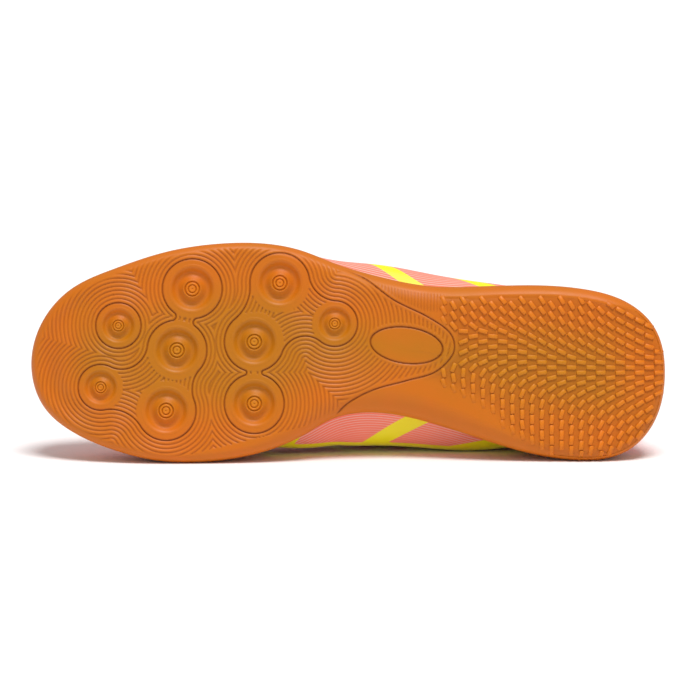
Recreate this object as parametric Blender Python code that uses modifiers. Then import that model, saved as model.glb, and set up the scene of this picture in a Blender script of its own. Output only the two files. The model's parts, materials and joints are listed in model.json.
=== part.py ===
"""Left indoor soccer shoe lying on its medial side: gum outsole, hollow upper, insole, tongue and lace.

The shoe is drawn standing: x runs from the toe to the heel, y towards the big toe's side, z up from the
floor. A last step lays it down on the side of its sole and its collar.
"""

import math

import bmesh
import bpy
import numpy as np
from mathutils import Matrix, Vector
from mathutils.geometry import delaunay_2d_cdt

# Sizes of a men's EU 42 shoe, in metres
LENGTH = 0.290
BALL_WIDTH = 0.0995
TOE_SPRING = 0.010
ARCH_LIFT = 0.0022
HEEL_BEVEL = 0.0035
SOLE_FOREFOOT = 0.0085
SOLE_HEEL = 0.0135
EDGE_ROUND = 0.0060
CUP_DEPTH = 0.0080
CUP_WALL = 0.0020
CUP_DRAFT = 0.0007
CUP_CORNER = 0.0014
WALL = 0.0020
FIT_GAP = 0.0003
WAIST_OVERHANG = 0.0150
WIDEST_RISE = 0.0120
COLLAR_HEIGHT = 0.0740
COLLAR_PAD = 0.0040
EYESTAY_WIDTH = 0.0130
EYESTAY_STEP = 0.0008
INSOLE_THICKNESS = 0.0040
TONGUE_THICKNESS = 0.0040
TONGUE_WIDTH = 0.0370
TONGUE_MARGIN = 0.0040
TONGUE_ROOT_SLOPE = 0.55
TONGUE_CROWN = 0.0024
TONGUE_CLEARANCE = 0.0014
TONGUE_ROOT = 0.0100
TONGUE_ABOVE_THROAT = 0.0200
TONGUE_BEND = 14.0
TONGUE_STATIONS = 13
TONGUE_ACROSS = 9
EYELET_RADIUS = 0.0023
EYELET_INSET = 0.0065
EYELET_PAIRS = 6
LACE_RADIUS = 0.0013
PLUG_LENGTH = 0.0036

# Relief of the tread
POD_RADIUS = 0.0136
SMALL_POD_RADIUS = 0.0104
POD_DEPTH = 0.0020
SHANK_OVAL_DEPTH = 0.0008
GROOVE_RADIUS = 0.0010

# Where the shoe's weight acts, as shares of LENGTH: over the arch and low, as the sole is the heavy part
WEIGHT_CENTRE = (0.53, 0.0, 0.055)

# How far the cup's outer wall leans inwards for each metre of its height
CUP_LEAN = 0.16

# Where the bottom leaves the floor, as shares of LENGTH
TOE_BREAK = 0.20
ARCH_FRONT = 0.46
ARCH_BACK = 0.72
HEEL_BREAK = 0.86

# Where the bed climbs from the forefoot's thickness to the heel's, and how much of the toe spring it takes
BED_RISE_START = 0.36
BED_RISE_END = 0.74
BED_TOE_SHARE = 0.75

# Where the throat's edge begins next to its front corner and ends at the collar, as shares of the way round
THROAT_CORNER = 0.020
THROAT_TOP = 0.262

STATIONS = 72

# The sole seen from below, from the toe's tip round the medial side to the heel and back:
# shares of LENGTH and of BALL_WIDTH
# Columns: along, across
SOLE_OUTLINE = (
    (0.000, 0.005),
    (0.022, 0.213),
    (0.066, 0.320),
    (0.131, 0.402),
    (0.197, 0.450),
    (0.269, 0.459),
    (0.340, 0.432),
    (0.396, 0.384),
    (0.438, 0.324),
    (0.473, 0.266),
    (0.540, 0.233),
    (0.629, 0.279),
    (0.709, 0.353),
    (0.773, 0.409),
    (0.833, 0.443),
    (0.890, 0.449),
    (0.942, 0.404),
    (0.978, 0.300),
    (1.000, 0.055),
    (0.984, -0.155),
    (0.942, -0.270),
    (0.876, -0.332),
    (0.789, -0.352),
    (0.701, -0.346),
    (0.621, -0.351),
    (0.548, -0.393),
    (0.482, -0.450),
    (0.426, -0.512),
    (0.371, -0.542),
    (0.300, -0.542),
    (0.219, -0.507),
    (0.131, -0.425),
    (0.066, -0.338),
    (0.022, -0.205),
)

# The sole's rounded edge and cup: the way round from the toe's tip, then shares of EDGE_ROUND for how far
# the tread stops inside the outline and how high the widest line lies, and of CUP_DEPTH for the cup's rim
# Columns: around, inset, rise, rim
SOLE_EDGE = (
    (0.000, 0.90, 1.10, 1.15),
    (0.060, 0.85, 1.00, 1.08),
    (0.150, 0.80, 0.95, 0.98),
    (0.205, 1.10, 1.15, 0.92),
    (0.250, 1.95, 1.50, 0.85),
    (0.300, 2.00, 1.60, 0.85),
    (0.345, 1.45, 1.45, 0.92),
    (0.400, 1.00, 1.20, 1.02),
    (0.500, 0.90, 1.15, 1.25),
    (0.590, 1.10, 1.20, 1.05),
    (0.640, 1.45, 1.35, 0.92),
    (0.700, 1.60, 1.40, 0.88),
    (0.755, 1.30, 1.20, 0.88),
    (0.810, 0.85, 0.95, 0.96),
    (0.900, 0.80, 0.95, 1.05),
)

# The upper above the cup: the way round, then the widest line's overhang as a share of WAIST_OVERHANG and
# its height over the rim as a share of WIDEST_RISE, then the opening's edge as shares of LENGTH, BALL_WIDTH
# and COLLAR_HEIGHT, and how far the wall leans inwards there, in degrees
# Columns: around, out, rise, along, across, height, lean
UPPER_SECTIONS = (
    (0.000, -0.24, 0.30, 0.334, -0.020, 0.755, 66.0),
    (0.056, -0.22, 0.35, 0.340, 0.038, 0.764, 68.0),
    (0.100, -0.18, 0.40, 0.351, 0.062, 0.780, 70.0),
    (0.146, -0.24, 0.50, 0.373, 0.082, 0.815, 71.0),
    (0.190, -0.10, 0.70, 0.418, 0.108, 0.890, 70.0),
    (0.238, 0.88, 1.00, 0.482, 0.146, 1.010, 66.0),
    (0.267, 1.04, 1.10, 0.545, 0.188, 1.105, 58.0),
    (0.306, 0.83, 1.05, 0.634, 0.280, 0.965, 32.0),
    (0.342, 0.40, 0.95, 0.710, 0.352, 0.815, 16.0),
    (0.372, -0.13, 0.90, 0.773, 0.378, 0.772, 12.0),
    (0.420, -0.38, 0.80, 0.868, 0.325, 0.850, 11.0),
    (0.460, -0.42, 0.75, 0.930, 0.225, 0.950, 10.0),
    (0.500, -0.42, 0.75, 0.960, 0.055, 1.000, 8.0),
    (0.540, -0.42, 0.75, 0.931, -0.105, 0.955, 10.0),
    (0.587, -0.34, 0.80, 0.866, -0.215, 0.850, 12.0),
    (0.630, -0.05, 0.90, 0.782, -0.258, 0.765, 14.0),
    (0.665, 0.22, 1.00, 0.706, -0.245, 0.815, 20.0),
    (0.700, 0.43, 1.00, 0.632, -0.198, 0.965, 36.0),
    (0.735, 0.34, 0.85, 0.545, -0.140, 1.100, 58.0),
    (0.765, 0.06, 0.70, 0.480, -0.128, 1.005, 66.0),
    (0.800, -0.12, 0.55, 0.418, -0.118, 0.888, 70.0),
    (0.845, -0.17, 0.50, 0.373, -0.106, 0.815, 71.0),
    (0.900, -0.18, 0.40, 0.351, -0.088, 0.780, 70.0),
    (0.950, -0.22, 0.35, 0.340, -0.064, 0.764, 68.0),
)

# The nine pivot pods: shares of LENGTH and BALL_WIDTH for the centre, and which radius each has
PODS = (
    (0.141, -0.166, SMALL_POD_RADIUS),
    (0.257, -0.334, POD_RADIUS),
    (0.233, -0.054, POD_RADIUS),
    (0.113, 0.116, SMALL_POD_RADIUS),
    (0.216, 0.222, POD_RADIUS),
    (0.394, -0.361, POD_RADIUS),
    (0.354, -0.092, POD_RADIUS),
    (0.480, -0.175, SMALL_POD_RADIUS),
    (0.354, 0.190, POD_RADIUS),
)

# The oval in the waist: its centre, length and width as shares of LENGTH and BALL_WIDTH by turns
SHANK_OVAL = (0.602, -0.073, 0.114, 0.166)
SHANK_OVAL_TURN = math.radians(-3.0)

# The groove that parts the forefoot from the rear tread, from the lateral edge round the oval and back:
# shares of LENGTH and of BALL_WIDTH
SHANK_GROOVE = (
    (0.482, -0.475),
    (0.494, -0.429),
    (0.530, -0.375),
    (0.572, -0.284),
    (0.623, -0.210),
    (0.656, -0.146),
    (0.667, -0.088),
    (0.663, -0.025),
    (0.636, 0.048),
    (0.592, 0.086),
    (0.540, 0.128),
    (0.500, 0.189),
    (0.476, 0.262),
)


def closed_spline(rows):
    """A smooth closed curve through rows that start with the way round, 0 to 1; returns a function of it."""
    rows = np.asarray(rows, float)
    knots, values = rows[:, 0], rows[:, 1:]
    count = len(knots)
    steps = np.diff(np.append(knots, knots[0] + 1.0))
    slopes = (np.roll(values, -1, 0) - values) / steps[:, None]
    system = np.zeros((count, count))
    for i in range(count):
        before = steps[i - 1]
        system[i, i - 1] += before
        system[i, i] += 2.0 * (before + steps[i])
        system[i, (i + 1) % count] += steps[i]
    bends = np.linalg.solve(system, 6.0 * (slopes - np.roll(slopes, 1, 0)))

    def at(around):
        place = (np.atleast_1d(around) - knots[0]) % 1.0 + knots[0]
        i = np.clip(np.searchsorted(knots, place, side="right") - 1, 0, count - 1)
        j = (i + 1) % count
        step = steps[i][:, None]
        late = (place - knots[i])[:, None] / step
        early = 1.0 - late
        curve = early * values[i] + late * values[j]
        return curve + step**2 / 6.0 * ((early**3 - early) * bends[i] + (late**3 - late) * bends[j])

    return at


def length_shares(points):
    """The way round a closed row of points, as shares of its whole length."""
    steps = np.linalg.norm(np.roll(points, -1, 0) - points, axis=1)
    return np.concatenate([[0.0], np.cumsum(steps)]) / steps.sum()


def sole_outline():
    """The outline as a function of the way round, by length, in metres."""
    rows = np.asarray(SOLE_OUTLINE) * (LENGTH, BALL_WIDTH)
    rough = closed_spline(np.column_stack([length_shares(rows)[:-1], rows]))
    fine = np.linspace(0.0, 1.0, 1500, endpoint=False)
    shares = length_shares(rough(fine))

    def at(around):
        return rough(np.interp(np.asarray(around) % 1.0, shares, np.append(fine, 1.0)))

    return at


OUTLINE = sole_outline()
EDGE = closed_spline(SOLE_EDGE)
SECTIONS = closed_spline(UPPER_SECTIONS)

# The throat's two edges as ways round the opening, and where it begins and ends along the shoe
MEDIAL_EDGE = np.linspace(THROAT_CORNER, THROAT_TOP, 400)
LATERAL_EDGE = 1.0 - MEDIAL_EDGE
THROAT_FRONT = UPPER_SECTIONS[0][3] * LENGTH
THROAT_BACK = min(SECTIONS(side[-1])[0, 2] for side in (MEDIAL_EDGE, LATERAL_EDGE)) * LENGTH


def smooth_step(value, low, high):
    share = np.clip((value - low) / (high - low), 0.0, 1.0)
    return share * share * (3.0 - 2.0 * share)


def bottom_height(x):
    """The tread's height over the floor that the shoe would stand on."""
    along = np.asarray(x) / LENGTH
    toe = np.clip(1.0 - along / TOE_BREAK, 0.0, 1.0) ** 2
    arch = np.sin(np.pi * np.clip((along - ARCH_FRONT) / (ARCH_BACK - ARCH_FRONT), 0.0, 1.0)) ** 2
    heel = np.clip((along - HEEL_BREAK) / (1.0 - HEEL_BREAK), 0.0, 1.0) ** 2
    return TOE_SPRING * toe + ARCH_LIFT * arch + HEEL_BEVEL * heel


def bed_height(x):
    """The top of the sole inside its cup, which carries the insole."""
    along = np.asarray(x) / LENGTH
    toe = np.clip(1.0 - along / TOE_BREAK, 0.0, 1.0) ** 2
    rise = smooth_step(along, BED_RISE_START, BED_RISE_END)
    return BED_TOE_SHARE * TOE_SPRING * toe + SOLE_FOREFOOT + (SOLE_HEEL - SOLE_FOREFOOT) * rise


def inwards(around):
    """The unit direction in plan from the outline into the sole."""
    step = 1e-3
    along = OUTLINE(np.asarray(around) + step) - OUTLINE(np.asarray(around) - step)
    along /= np.linalg.norm(along, axis=1)[:, None]
    return np.column_stack([along[:, 1], -along[:, 0]])


def ring(around, inset, height):
    """Points at a distance inside the outline; height is a number, an array or a function of x."""
    plan = OUTLINE(around) + inwards(around) * np.broadcast_to(inset, len(around))[:, None]
    z = height(plan[:, 0]) if callable(height) else np.broadcast_to(height, len(around))
    return np.column_stack([plan, z])


def rim_height(around):
    return bed_height(OUTLINE(around)[:, 0]) + CUP_DEPTH * EDGE(around)[:, 2]


def bezier(start, near_start, near_end, end, shares):
    t = np.asarray(shares)[:, None, None]
    early = 1 - t
    return early**3 * start + 3 * early**2 * t * near_start + 3 * early * t * t * near_end + t**3 * end


def widest_height(around):
    """The height of the sole's widest line, where its rounded edge ends."""
    return bottom_height(OUTLINE(around)[:, 0]) + EDGE(around)[:, 1] * EDGE_ROUND


def cup_inset(around):
    """How far inside the outline the cup's outer face is at its rim."""
    return CUP_LEAN * (rim_height(around) - widest_height(around))


def cup_foot(around):
    """How far inside the outline the cup's inner face is at the bed."""
    return cup_inset(around) + CUP_WALL + CUP_DRAFT


def sole_rings(around):
    """Rings from the tread's edge, round the outside, over the rim and down into the cup."""
    inset = EDGE(around)[:, 0] * EDGE_ROUND
    rim = rim_height(around)
    tread = bottom_height(OUTLINE(around)[:, 0])
    rise = widest_height(around) - tread
    rings = []
    for turn in np.radians((0.0, 25.0, 50.0, 72.0, 90.0)):
        rings.append(ring(around, inset * (1 - np.sin(turn)), tread + rise * (1 - np.cos(turn))))
    outside = cup_inset(around)
    rings.append(ring(around, outside, rim - CUP_WALL / 3))
    rings.append(ring(around, outside + CUP_WALL / 3, rim))
    rings.append(ring(around, outside + CUP_WALL, rim))
    rings.append(ring(around, cup_foot(around), bed_height(OUTLINE(around)[:, 0]) + CUP_CORNER))
    rings.append(ring(around, cup_foot(around) + CUP_CORNER, bed_height))
    return rings


def upper_points(around, low_shares, high_shares):
    """The upper's outer face: rings from its lower edge in the cup to the opening's edge."""
    out, rise, along, across, height, lean = SECTIONS(around).T
    rim = rim_height(around)
    wall_foot = cup_foot(around) + FIT_GAP
    bed = bed_height(OUTLINE(around)[:, 0]) + FIT_GAP
    foot = ring(around, wall_foot + CUP_CORNER, lambda x: bed_height(x) + FIT_GAP)
    corner = ring(around, wall_foot, bed + CUP_CORNER)
    at_rim = ring(around, cup_inset(around) + CUP_WALL + FIT_GAP, rim + 2 * FIT_GAP)
    widest = ring(around, -out * WAIST_OVERHANG, rim + rise * WIDEST_RISE)
    edge = np.column_stack([along * LENGTH, across * BALL_WIDTH, height * COLLAR_HEIGHT])
    up = np.array([0.0, 0.0, 1.0])
    low_reach = np.linalg.norm(widest - at_rim, axis=1)[:, None]
    leaving = (widest - at_rim) / low_reach
    leaving = leaving + 0.35 * (leaving - up * leaving[:, 2:])
    after_rim = at_rim + 0.35 * low_reach * leaving
    low = bezier(at_rim, after_rim, widest - 0.40 * low_reach * up, widest, low_shares)
    reach = np.linalg.norm(edge - widest, axis=1)[:, None]
    into = opening_inwards(around)
    lean = np.radians(lean)[:, None]
    arriving = np.column_stack([into, np.zeros(len(around))]) * np.sin(lean) + up * np.cos(lean)
    flat = np.clip(lean / math.radians(66.0), 0.0, 1.0)
    rise_reach = (0.42 - 0.29 * toe_share(around)[:, None] * flat) * reach
    high = bezier(widest, widest + rise_reach * up, edge - 0.42 * reach * arriving, edge, high_shares)
    return np.concatenate([[foot, corner], low[:-1], high])


def toe_share(around):
    """1 at the toe's tip, fading out where the vamp turns into the sides."""
    return 1.0 - smooth_step(np.abs((np.asarray(around) + 0.5) % 1.0 - 0.5), 0.04, 0.20)


def opening_inwards(around):
    """The unit direction in plan from the opening's edge into the opening."""
    step = 1e-3
    after, before = SECTIONS(np.asarray(around) + step), SECTIONS(np.asarray(around) - step)
    along = (after - before)[:, 2:4] * (LENGTH, BALL_WIDTH)
    along /= np.linalg.norm(along, axis=1)[:, None]
    return np.column_stack([along[:, 1], -along[:, 0]])


def throat_share(around, fade_start, fade_end):
    """1 along the throat, fading to 0 round the collar."""
    from_toe = np.abs((np.asarray(around) + 0.5) % 1.0 - 0.5)
    return 1.0 - smooth_step(from_toe, fade_start, fade_end)


def face_normals(grid):
    """Outward unit normals of a grid of rings that closes round the shoe."""
    round_shoe = np.roll(grid, -1, 1) - np.roll(grid, 1, 1)
    up = np.gradient(grid, axis=0)
    normals = np.cross(up, round_shoe)
    return normals / np.linalg.norm(normals, axis=2)[:, :, None]


def new_object(name, mesh):
    made = bpy.data.objects.new(name, mesh)
    SHOE.objects.link(made)
    return made


def mesh_object(name, points, faces):
    mesh = bpy.data.meshes.new(name)
    mesh.from_pydata([tuple(p) for p in points], [], [tuple(f) for f in faces])
    shell = bmesh.new()
    shell.from_mesh(mesh)
    bmesh.ops.recalc_face_normals(shell, faces=shell.faces)
    bmesh.ops.triangulate(shell, faces=shell.faces)
    shell.to_mesh(mesh)
    shell.free()
    mesh.shade_smooth()
    mesh.set_sharp_from_angle(angle=math.radians(35.0))
    return new_object(name, mesh)


def band_faces(rows, count, closed):
    """Quads between neighbouring rings of equal length, joined last to first where closed."""
    faces = []
    for row in range(rows if closed else rows - 1):
        here, above = row * count, (row + 1) % rows * count
        for i in range(count):
            j = (i + 1) % count
            faces.append((here + i, here + j, above + j, above + i))
    return faces


def filled(loop, height, spacing):
    """Points and triangles inside a closed loop, with inner points at a height worked out from x."""
    low, high = loop[:, :2].min(0), loop[:, :2].max(0)
    grid = np.stack(np.meshgrid(*(np.arange(a + spacing, b, spacing) for a, b in zip(low, high))), -1)
    grid = grid.reshape(-1, 2)
    ends = np.roll(loop, -1, 0)
    crossed = (loop[:, 1] > grid[:, 1:]) != (ends[:, 1] > grid[:, 1:])
    with np.errstate(divide="ignore", invalid="ignore"):
        share = (grid[:, 1:] - loop[:, 1]) / (ends[:, 1] - loop[:, 1])
    inside = (crossed & (grid[:, :1] < loop[:, 0] + share * (ends[:, 0] - loop[:, 0]))).sum(1) % 2 == 1
    apart = np.linalg.norm(grid[:, None] - loop[None, :, :2], axis=2).min(1) > 0.6 * spacing
    grid = grid[inside & apart]
    count = len(loop)
    plan = [Vector(p) for p in np.concatenate([loop[:, :2], grid])]
    edges = [(i, (i + 1) % count) for i in range(count)]
    _, _, faces, _, _, _ = delaunay_2d_cdt(plan, edges, [], 1, 1e-7)
    inner = np.column_stack([grid, height(grid[:, 0])])
    return inner, faces


def capped_loft(name, rings, first_height, last_height, spacing):
    """A solid skinned over rings, with its first and last ring filled in."""
    count = len(rings[0])
    points = np.concatenate(rings)
    faces = band_faces(len(rings), count, closed=False)
    for loop, start, height in ((rings[0], 0, first_height), (rings[-1], len(points) - count, last_height)):
        inner, caps = filled(loop, height, spacing)
        shift = len(points) - count
        faces += [[start + i if i < count else shift + i for i in cap] for cap in caps]
        points = np.concatenate([points, inner])
    return mesh_object(name, points, faces)


def surface(name, colour, roughness):
    material = bpy.data.materials.new(name)
    material.use_nodes = True
    shader = material.node_tree.nodes["Principled BSDF"]
    shader.inputs["Base Color"].default_value = (*colour, 1.0)
    shader.inputs["Roughness"].default_value = roughness
    shader.inputs["Metallic"].default_value = 0.0
    return material


def cut(made, cutter):
    """Subtracts a cutter from a piece."""
    bite = made.modifiers.new("cut " + cutter.name, "BOOLEAN")
    bite.operation = "DIFFERENCE"
    bite.object = cutter


def as_cutter(made):
    """Moves an object to the cutters, which aren't drawn."""
    SHOE.objects.unlink(made)
    CUTTERS.objects.link(made)
    made.hide_render = True
    made.display_type = "WIRE"
    return made


def tread_turn(x):
    """The slope of the tread along the shoe, as an angle about y."""
    step = 1e-4
    return -math.atan2(float(bottom_height(x + step) - bottom_height(x - step)), 2 * step)


def pod_cutter(along, across, radius, number):
    """The turned moat round a pod's boss: a profile in x and z, spun about z."""
    profile = [
        (0.31 * radius, -POD_DEPTH / 2),
        (0.31 * radius, 0.0),
        (0.43 * radius, POD_DEPTH),
        (0.54 * radius, POD_DEPTH),
        (0.66 * radius, 0.0),
        (0.66 * radius, -POD_DEPTH / 2),
    ]
    mesh = bpy.data.meshes.new("pod_moat")
    count = len(profile)
    mesh.from_pydata([(x, 0, z) for x, z in profile], [(i, (i + 1) % count) for i in range(count)], [])
    cutter = as_cutter(new_object(f"pod_moat_{number}", mesh))
    spin = cutter.modifiers.new("spin", "SCREW")
    spin.steps = spin.render_steps = 22
    spin.use_merge_vertices = True
    spin.merge_threshold = 0.00001
    x = along * LENGTH
    cutter.location = (x, across * BALL_WIDTH, float(bottom_height(x)))
    cutter.rotation_euler = (0.0, tread_turn(x), 0.0)
    return cutter


def oval_cutter():
    """The shallow oval in the waist, as a scaled cylinder."""
    shape = bmesh.new()
    bmesh.ops.create_cone(
        shape, cap_ends=True, segments=28, radius1=0.5, radius2=0.5, depth=2 * SHANK_OVAL_DEPTH
    )
    along, across, long, wide = SHANK_OVAL
    bmesh.ops.scale(shape, vec=(long * LENGTH, wide * BALL_WIDTH, 1.0), verts=shape.verts)
    mesh = bpy.data.meshes.new("shank_oval")
    shape.to_mesh(mesh)
    shape.free()
    cutter = as_cutter(new_object("shank_oval", mesh))
    x = along * LENGTH
    cutter.location = (x, across * BALL_WIDTH, float(bottom_height(x)))
    cutter.rotation_euler = (0.0, tread_turn(x), SHANK_OVAL_TURN)
    return cutter


def outsole():
    """One moulded gum cup sole: tread with nine pods, rounded edge, and a cup that takes the upper."""
    rings = sole_rings(np.arange(STATIONS) / STATIONS)
    made = capped_loft("outsole", rings, bottom_height, bed_height, 0.012)
    for number, (along, across, radius) in enumerate(PODS, 1):
        cut(made, pod_cutter(along, across, radius, number))
    cut(made, oval_cutter())
    groove = [(x * LENGTH, y * BALL_WIDTH, float(bottom_height(x * LENGTH))) for x, y in SHANK_GROOVE]
    cut(made, as_cutter(tube("shank_groove", groove, GROOVE_RADIUS)))
    return made


def upper_grid(around):
    """The upper's outer and inner faces as grids, with the eyestay's step on the outer one."""
    low_shares = (0.0, 0.35, 0.68, 1.0)
    high_shares = (0.0, 0.06, 0.14, 0.24, 0.36, 0.50, 0.64, 0.78, 0.90, 1.0)
    outer = upper_points(around, low_shares, high_shares)
    normals = face_normals(outer)
    rows = len(outer)
    collar = 1.0 - throat_share(around, 0.280, 0.335)
    pad = smooth_step(np.arange(rows) / (rows - 1), 0.55, 0.92)[:, None] * collar
    inner = outer - normals * (WALL + COLLAR_PAD * pad)[:, :, None]
    inner[0] = outer[0] + (inner[0] - outer[0]) * (1.0, 1.0, 0.0)
    reach = np.linalg.norm(outer[-1] - outer, axis=2)
    eyestay = 1.0 - smooth_step(reach, 0.92 * EYESTAY_WIDTH, 1.08 * EYESTAY_WIDTH)
    eyestay = eyestay * throat_share(around, 0.255, 0.285)
    return outer + normals * (EYESTAY_STEP * eyestay)[:, :, None], inner


def upper():
    """The hollow upper: one wall, open underneath and at the throat and collar."""
    around = np.arange(STATIONS) / STATIONS
    outer, inner = upper_grid(around)
    kept = [row for row in range(len(inner)) if row not in (3, 6, 8, 10)]
    top = (outer[-1] + inner[-1]) / 2 + 0.35 * np.linalg.norm(outer[-1] - inner[-1], axis=1)[:, None] * (
        unit(outer[-1] - outer[-2])
    )
    rings = [*outer, top, *inner[kept][::-1]]
    points = np.concatenate(rings)
    made = mesh_object("upper", points, band_faces(len(rings), STATIONS, closed=True))
    for number, (place, normal) in enumerate(eyelets(), 1):
        cut(made, eyelet_cutter(place, normal, number))
    return made


def unit(vectors):
    return vectors / np.linalg.norm(vectors, axis=-1)[..., None]


def eyelets():
    """Centre and normal of each eyelet on the eyestay, medial and lateral by turns, from the toe's end."""
    found = []
    for pair in range(EYELET_PAIRS):
        along = THROAT_FRONT + (THROAT_BACK - THROAT_FRONT) * (0.16 + 0.76 * pair / (EYELET_PAIRS - 1))
        for side in (MEDIAL_EDGE, LATERAL_EDGE):
            around = side[np.argmin(np.abs(SECTIONS(side)[:, 2] * LENGTH - along))]
            steps = (around - 1e-3, around, around + 1e-3)
            outer = upper_points(np.array(steps), (0.0, 1.0), np.linspace(0.0, 1.0, 60))[3:]
            reach = np.linalg.norm(outer[-1, 1] - outer[:, 1], axis=1)
            row = int(np.argmin(np.abs(reach - EYELET_INSET)))
            normal = unit(np.cross(outer[row + 1, 1] - outer[row - 1, 1], outer[row, 2] - outer[row, 0]))
            found.append((outer[row, 1] + normal * EYESTAY_STEP, normal))
    return found


def eyelet_cutter(place, normal, number):
    shape = bmesh.new()
    bmesh.ops.create_cone(
        shape, cap_ends=True, segments=12, radius1=EYELET_RADIUS, radius2=EYELET_RADIUS, depth=6 * WALL
    )
    mesh = bpy.data.meshes.new("eyelet")
    shape.to_mesh(mesh)
    shape.free()
    cutter = as_cutter(new_object(f"eyelet_{number}", mesh))
    cutter.location = place
    cutter.rotation_euler = Vector(normal).to_track_quat("Z", "Y").to_euler()
    return cutter


def insole():
    """The sock liner: it lies on the sole's bed inside the upper's wall, with a rounded top edge."""
    around = np.arange(STATIONS) / STATIONS
    wall = cup_foot(around) + FIT_GAP + CUP_CORNER + WALL + FIT_GAP
    rings = []
    for inset, share in ((0.0002, 0.0), (0.0, 0.55), (0.0006, 0.85), (0.0020, 1.0)):
        lift = FIT_GAP + INSOLE_THICKNESS * share
        rings.append(ring(around, wall + inset, lambda x, lift=lift: bed_height(x) + lift))
    return capped_loft(
        "insole",
        rings,
        lambda x: bed_height(x) + FIT_GAP,
        lambda x: bed_height(x) + FIT_GAP + INSOLE_THICKNESS,
        0.014,
    )


def throat_edges(x):
    """The throat's two edges at a place along the shoe: their y and height, medial then lateral."""
    found = []
    for side in (MEDIAL_EDGE, LATERAL_EDGE):
        rows = SECTIONS(side)
        order = np.argsort(rows[:, 2])
        at = np.interp(x / LENGTH, rows[order, 2], np.arange(len(order)))
        y = np.interp(at, np.arange(len(order)), rows[order, 3]) * BALL_WIDTH
        z = np.interp(at, np.arange(len(order)), rows[order, 4]) * COLLAR_HEIGHT
        found.append((y, z))
    return found


def tongue_point(x, share):
    """A point on the tongue's top, share running from -1 to 1 over its width: an arch under the throat."""
    inside = min(max(x, THROAT_FRONT + 0.004), THROAT_BACK - 0.002)
    (y_medial, z_medial), (y_lateral, z_lateral) = throat_edges(inside)
    half = (y_medial - y_lateral) / 2
    past = max(0.0, x - THROAT_BACK)
    slope = (edge_height(inside + 0.005) - edge_height(inside - 0.005)) / 0.01
    if x < THROAT_FRONT + 0.004:
        slope = TONGUE_ROOT_SLOPE
    height = (z_medial + z_lateral) / 2 + slope * (x - inside) + TONGUE_BEND * past**2
    reach = min(half + TONGUE_MARGIN, TONGUE_WIDTH / 2)
    reach -= TONGUE_MARGIN * smooth_step(x, THROAT_BACK - 0.006, THROAT_BACK + 0.003)
    across = share * reach
    beyond = max(0.0, abs(across) - half)
    crown = TONGUE_CROWN * smooth_step(x, THROAT_FRONT, THROAT_FRONT + 0.015)
    arch = crown * (1.0 - (across / half) ** 2) - 0.8 * beyond
    return x, (y_medial + y_lateral) / 2 + across, height + arch - WALL - TONGUE_CLEARANCE


def edge_height(x):
    (_, z_medial), (_, z_lateral) = throat_edges(x)
    return (z_medial + z_lateral) / 2


def tongue():
    """A padded tongue under the lace, with a free end that bends up above the throat."""
    start = THROAT_FRONT - TONGUE_ROOT
    stations = np.linspace(start, THROAT_BACK + TONGUE_ABOVE_THROAT, TONGUE_STATIONS)
    shares = np.linspace(-1.0, 1.0, TONGUE_ACROSS)
    top = []
    for x in stations:
        narrow = 0.86 + 0.14 * smooth_step(x, start, THROAT_FRONT)
        narrow -= 0.30 * smooth_step(x, THROAT_BACK + 0.6 * TONGUE_ABOVE_THROAT, stations[-1])
        top += [tongue_point(x, narrow * share) for share in shares]
    top = np.array(top)
    thickness = TONGUE_THICKNESS * (0.5 + 0.5 * smooth_step(top[:, 0], start, THROAT_BACK))
    thickness *= np.tile(1.0 - 0.45 * shares**4, len(stations))
    bottom = top - np.outer(thickness, (0.0, 0.0, 1.0))
    wide, long = len(shares), len(stations)
    count = wide * long
    faces = []
    for i in range(long - 1):
        for j in range(wide - 1):
            a = i * wide + j
            faces.append((a, a + 1, a + wide + 1, a + wide))
            faces.append((count + a + wide, count + a + wide + 1, count + a + 1, count + a))
    rim = [*range(wide), *range(2 * wide - 1, count, wide), *range(count - 2, count - wide - 1, -1)]
    rim += list(range(count - 2 * wide, 0, -wide))
    for here, after in zip(rim, rim[1:] + rim[:1]):
        faces.append((here, count + here, count + after, after))
    return mesh_object("tongue", [*top, *bottom], faces)


def lace():
    """The lace's bar and crossings over the throat as one solid; its ends stop in the top eyelets."""
    holes = eyelets()
    medial, lateral = holes[0::2], holes[1::2]
    runs = [(medial[0], lateral[0])]
    for pair in range(EYELET_PAIRS - 1):
        runs.append((medial[pair], lateral[pair + 1]))
        runs.append((lateral[pair], medial[pair + 1]))
    plugs = [lace_plug(place, normal, number) for number, (place, normal) in enumerate(holes, 1)]
    strands = [lace_run(start, end, number) for number, (start, end) in enumerate(runs)]
    made = strands[0]
    made.name = "lace"
    for strand in [*plugs, *strands[1:]]:
        as_cutter(strand)
        join = made.modifiers.new("join " + strand.name, "BOOLEAN")
        join.operation = "UNION"
        join.object = strand
    return made


def lace_plug(place, normal, number):
    """The lace where it stands in an eyelet, thick enough to hold the ends of the runs."""
    shape = bmesh.new()
    thick = 1.25 * LACE_RADIUS
    bmesh.ops.create_cone(shape, cap_ends=True, segments=8, radius1=thick, radius2=thick, depth=PLUG_LENGTH)
    mesh = bpy.data.meshes.new("lace_plug")
    shape.to_mesh(mesh)
    shape.free()
    made = new_object(f"lace_plug_{number}", mesh)
    made.location = place + normal * (PLUG_LENGTH / 2 - 0.6 * WALL)
    made.rotation_euler = Vector(normal).to_track_quat("Z", "Y").to_euler()
    return made


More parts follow.
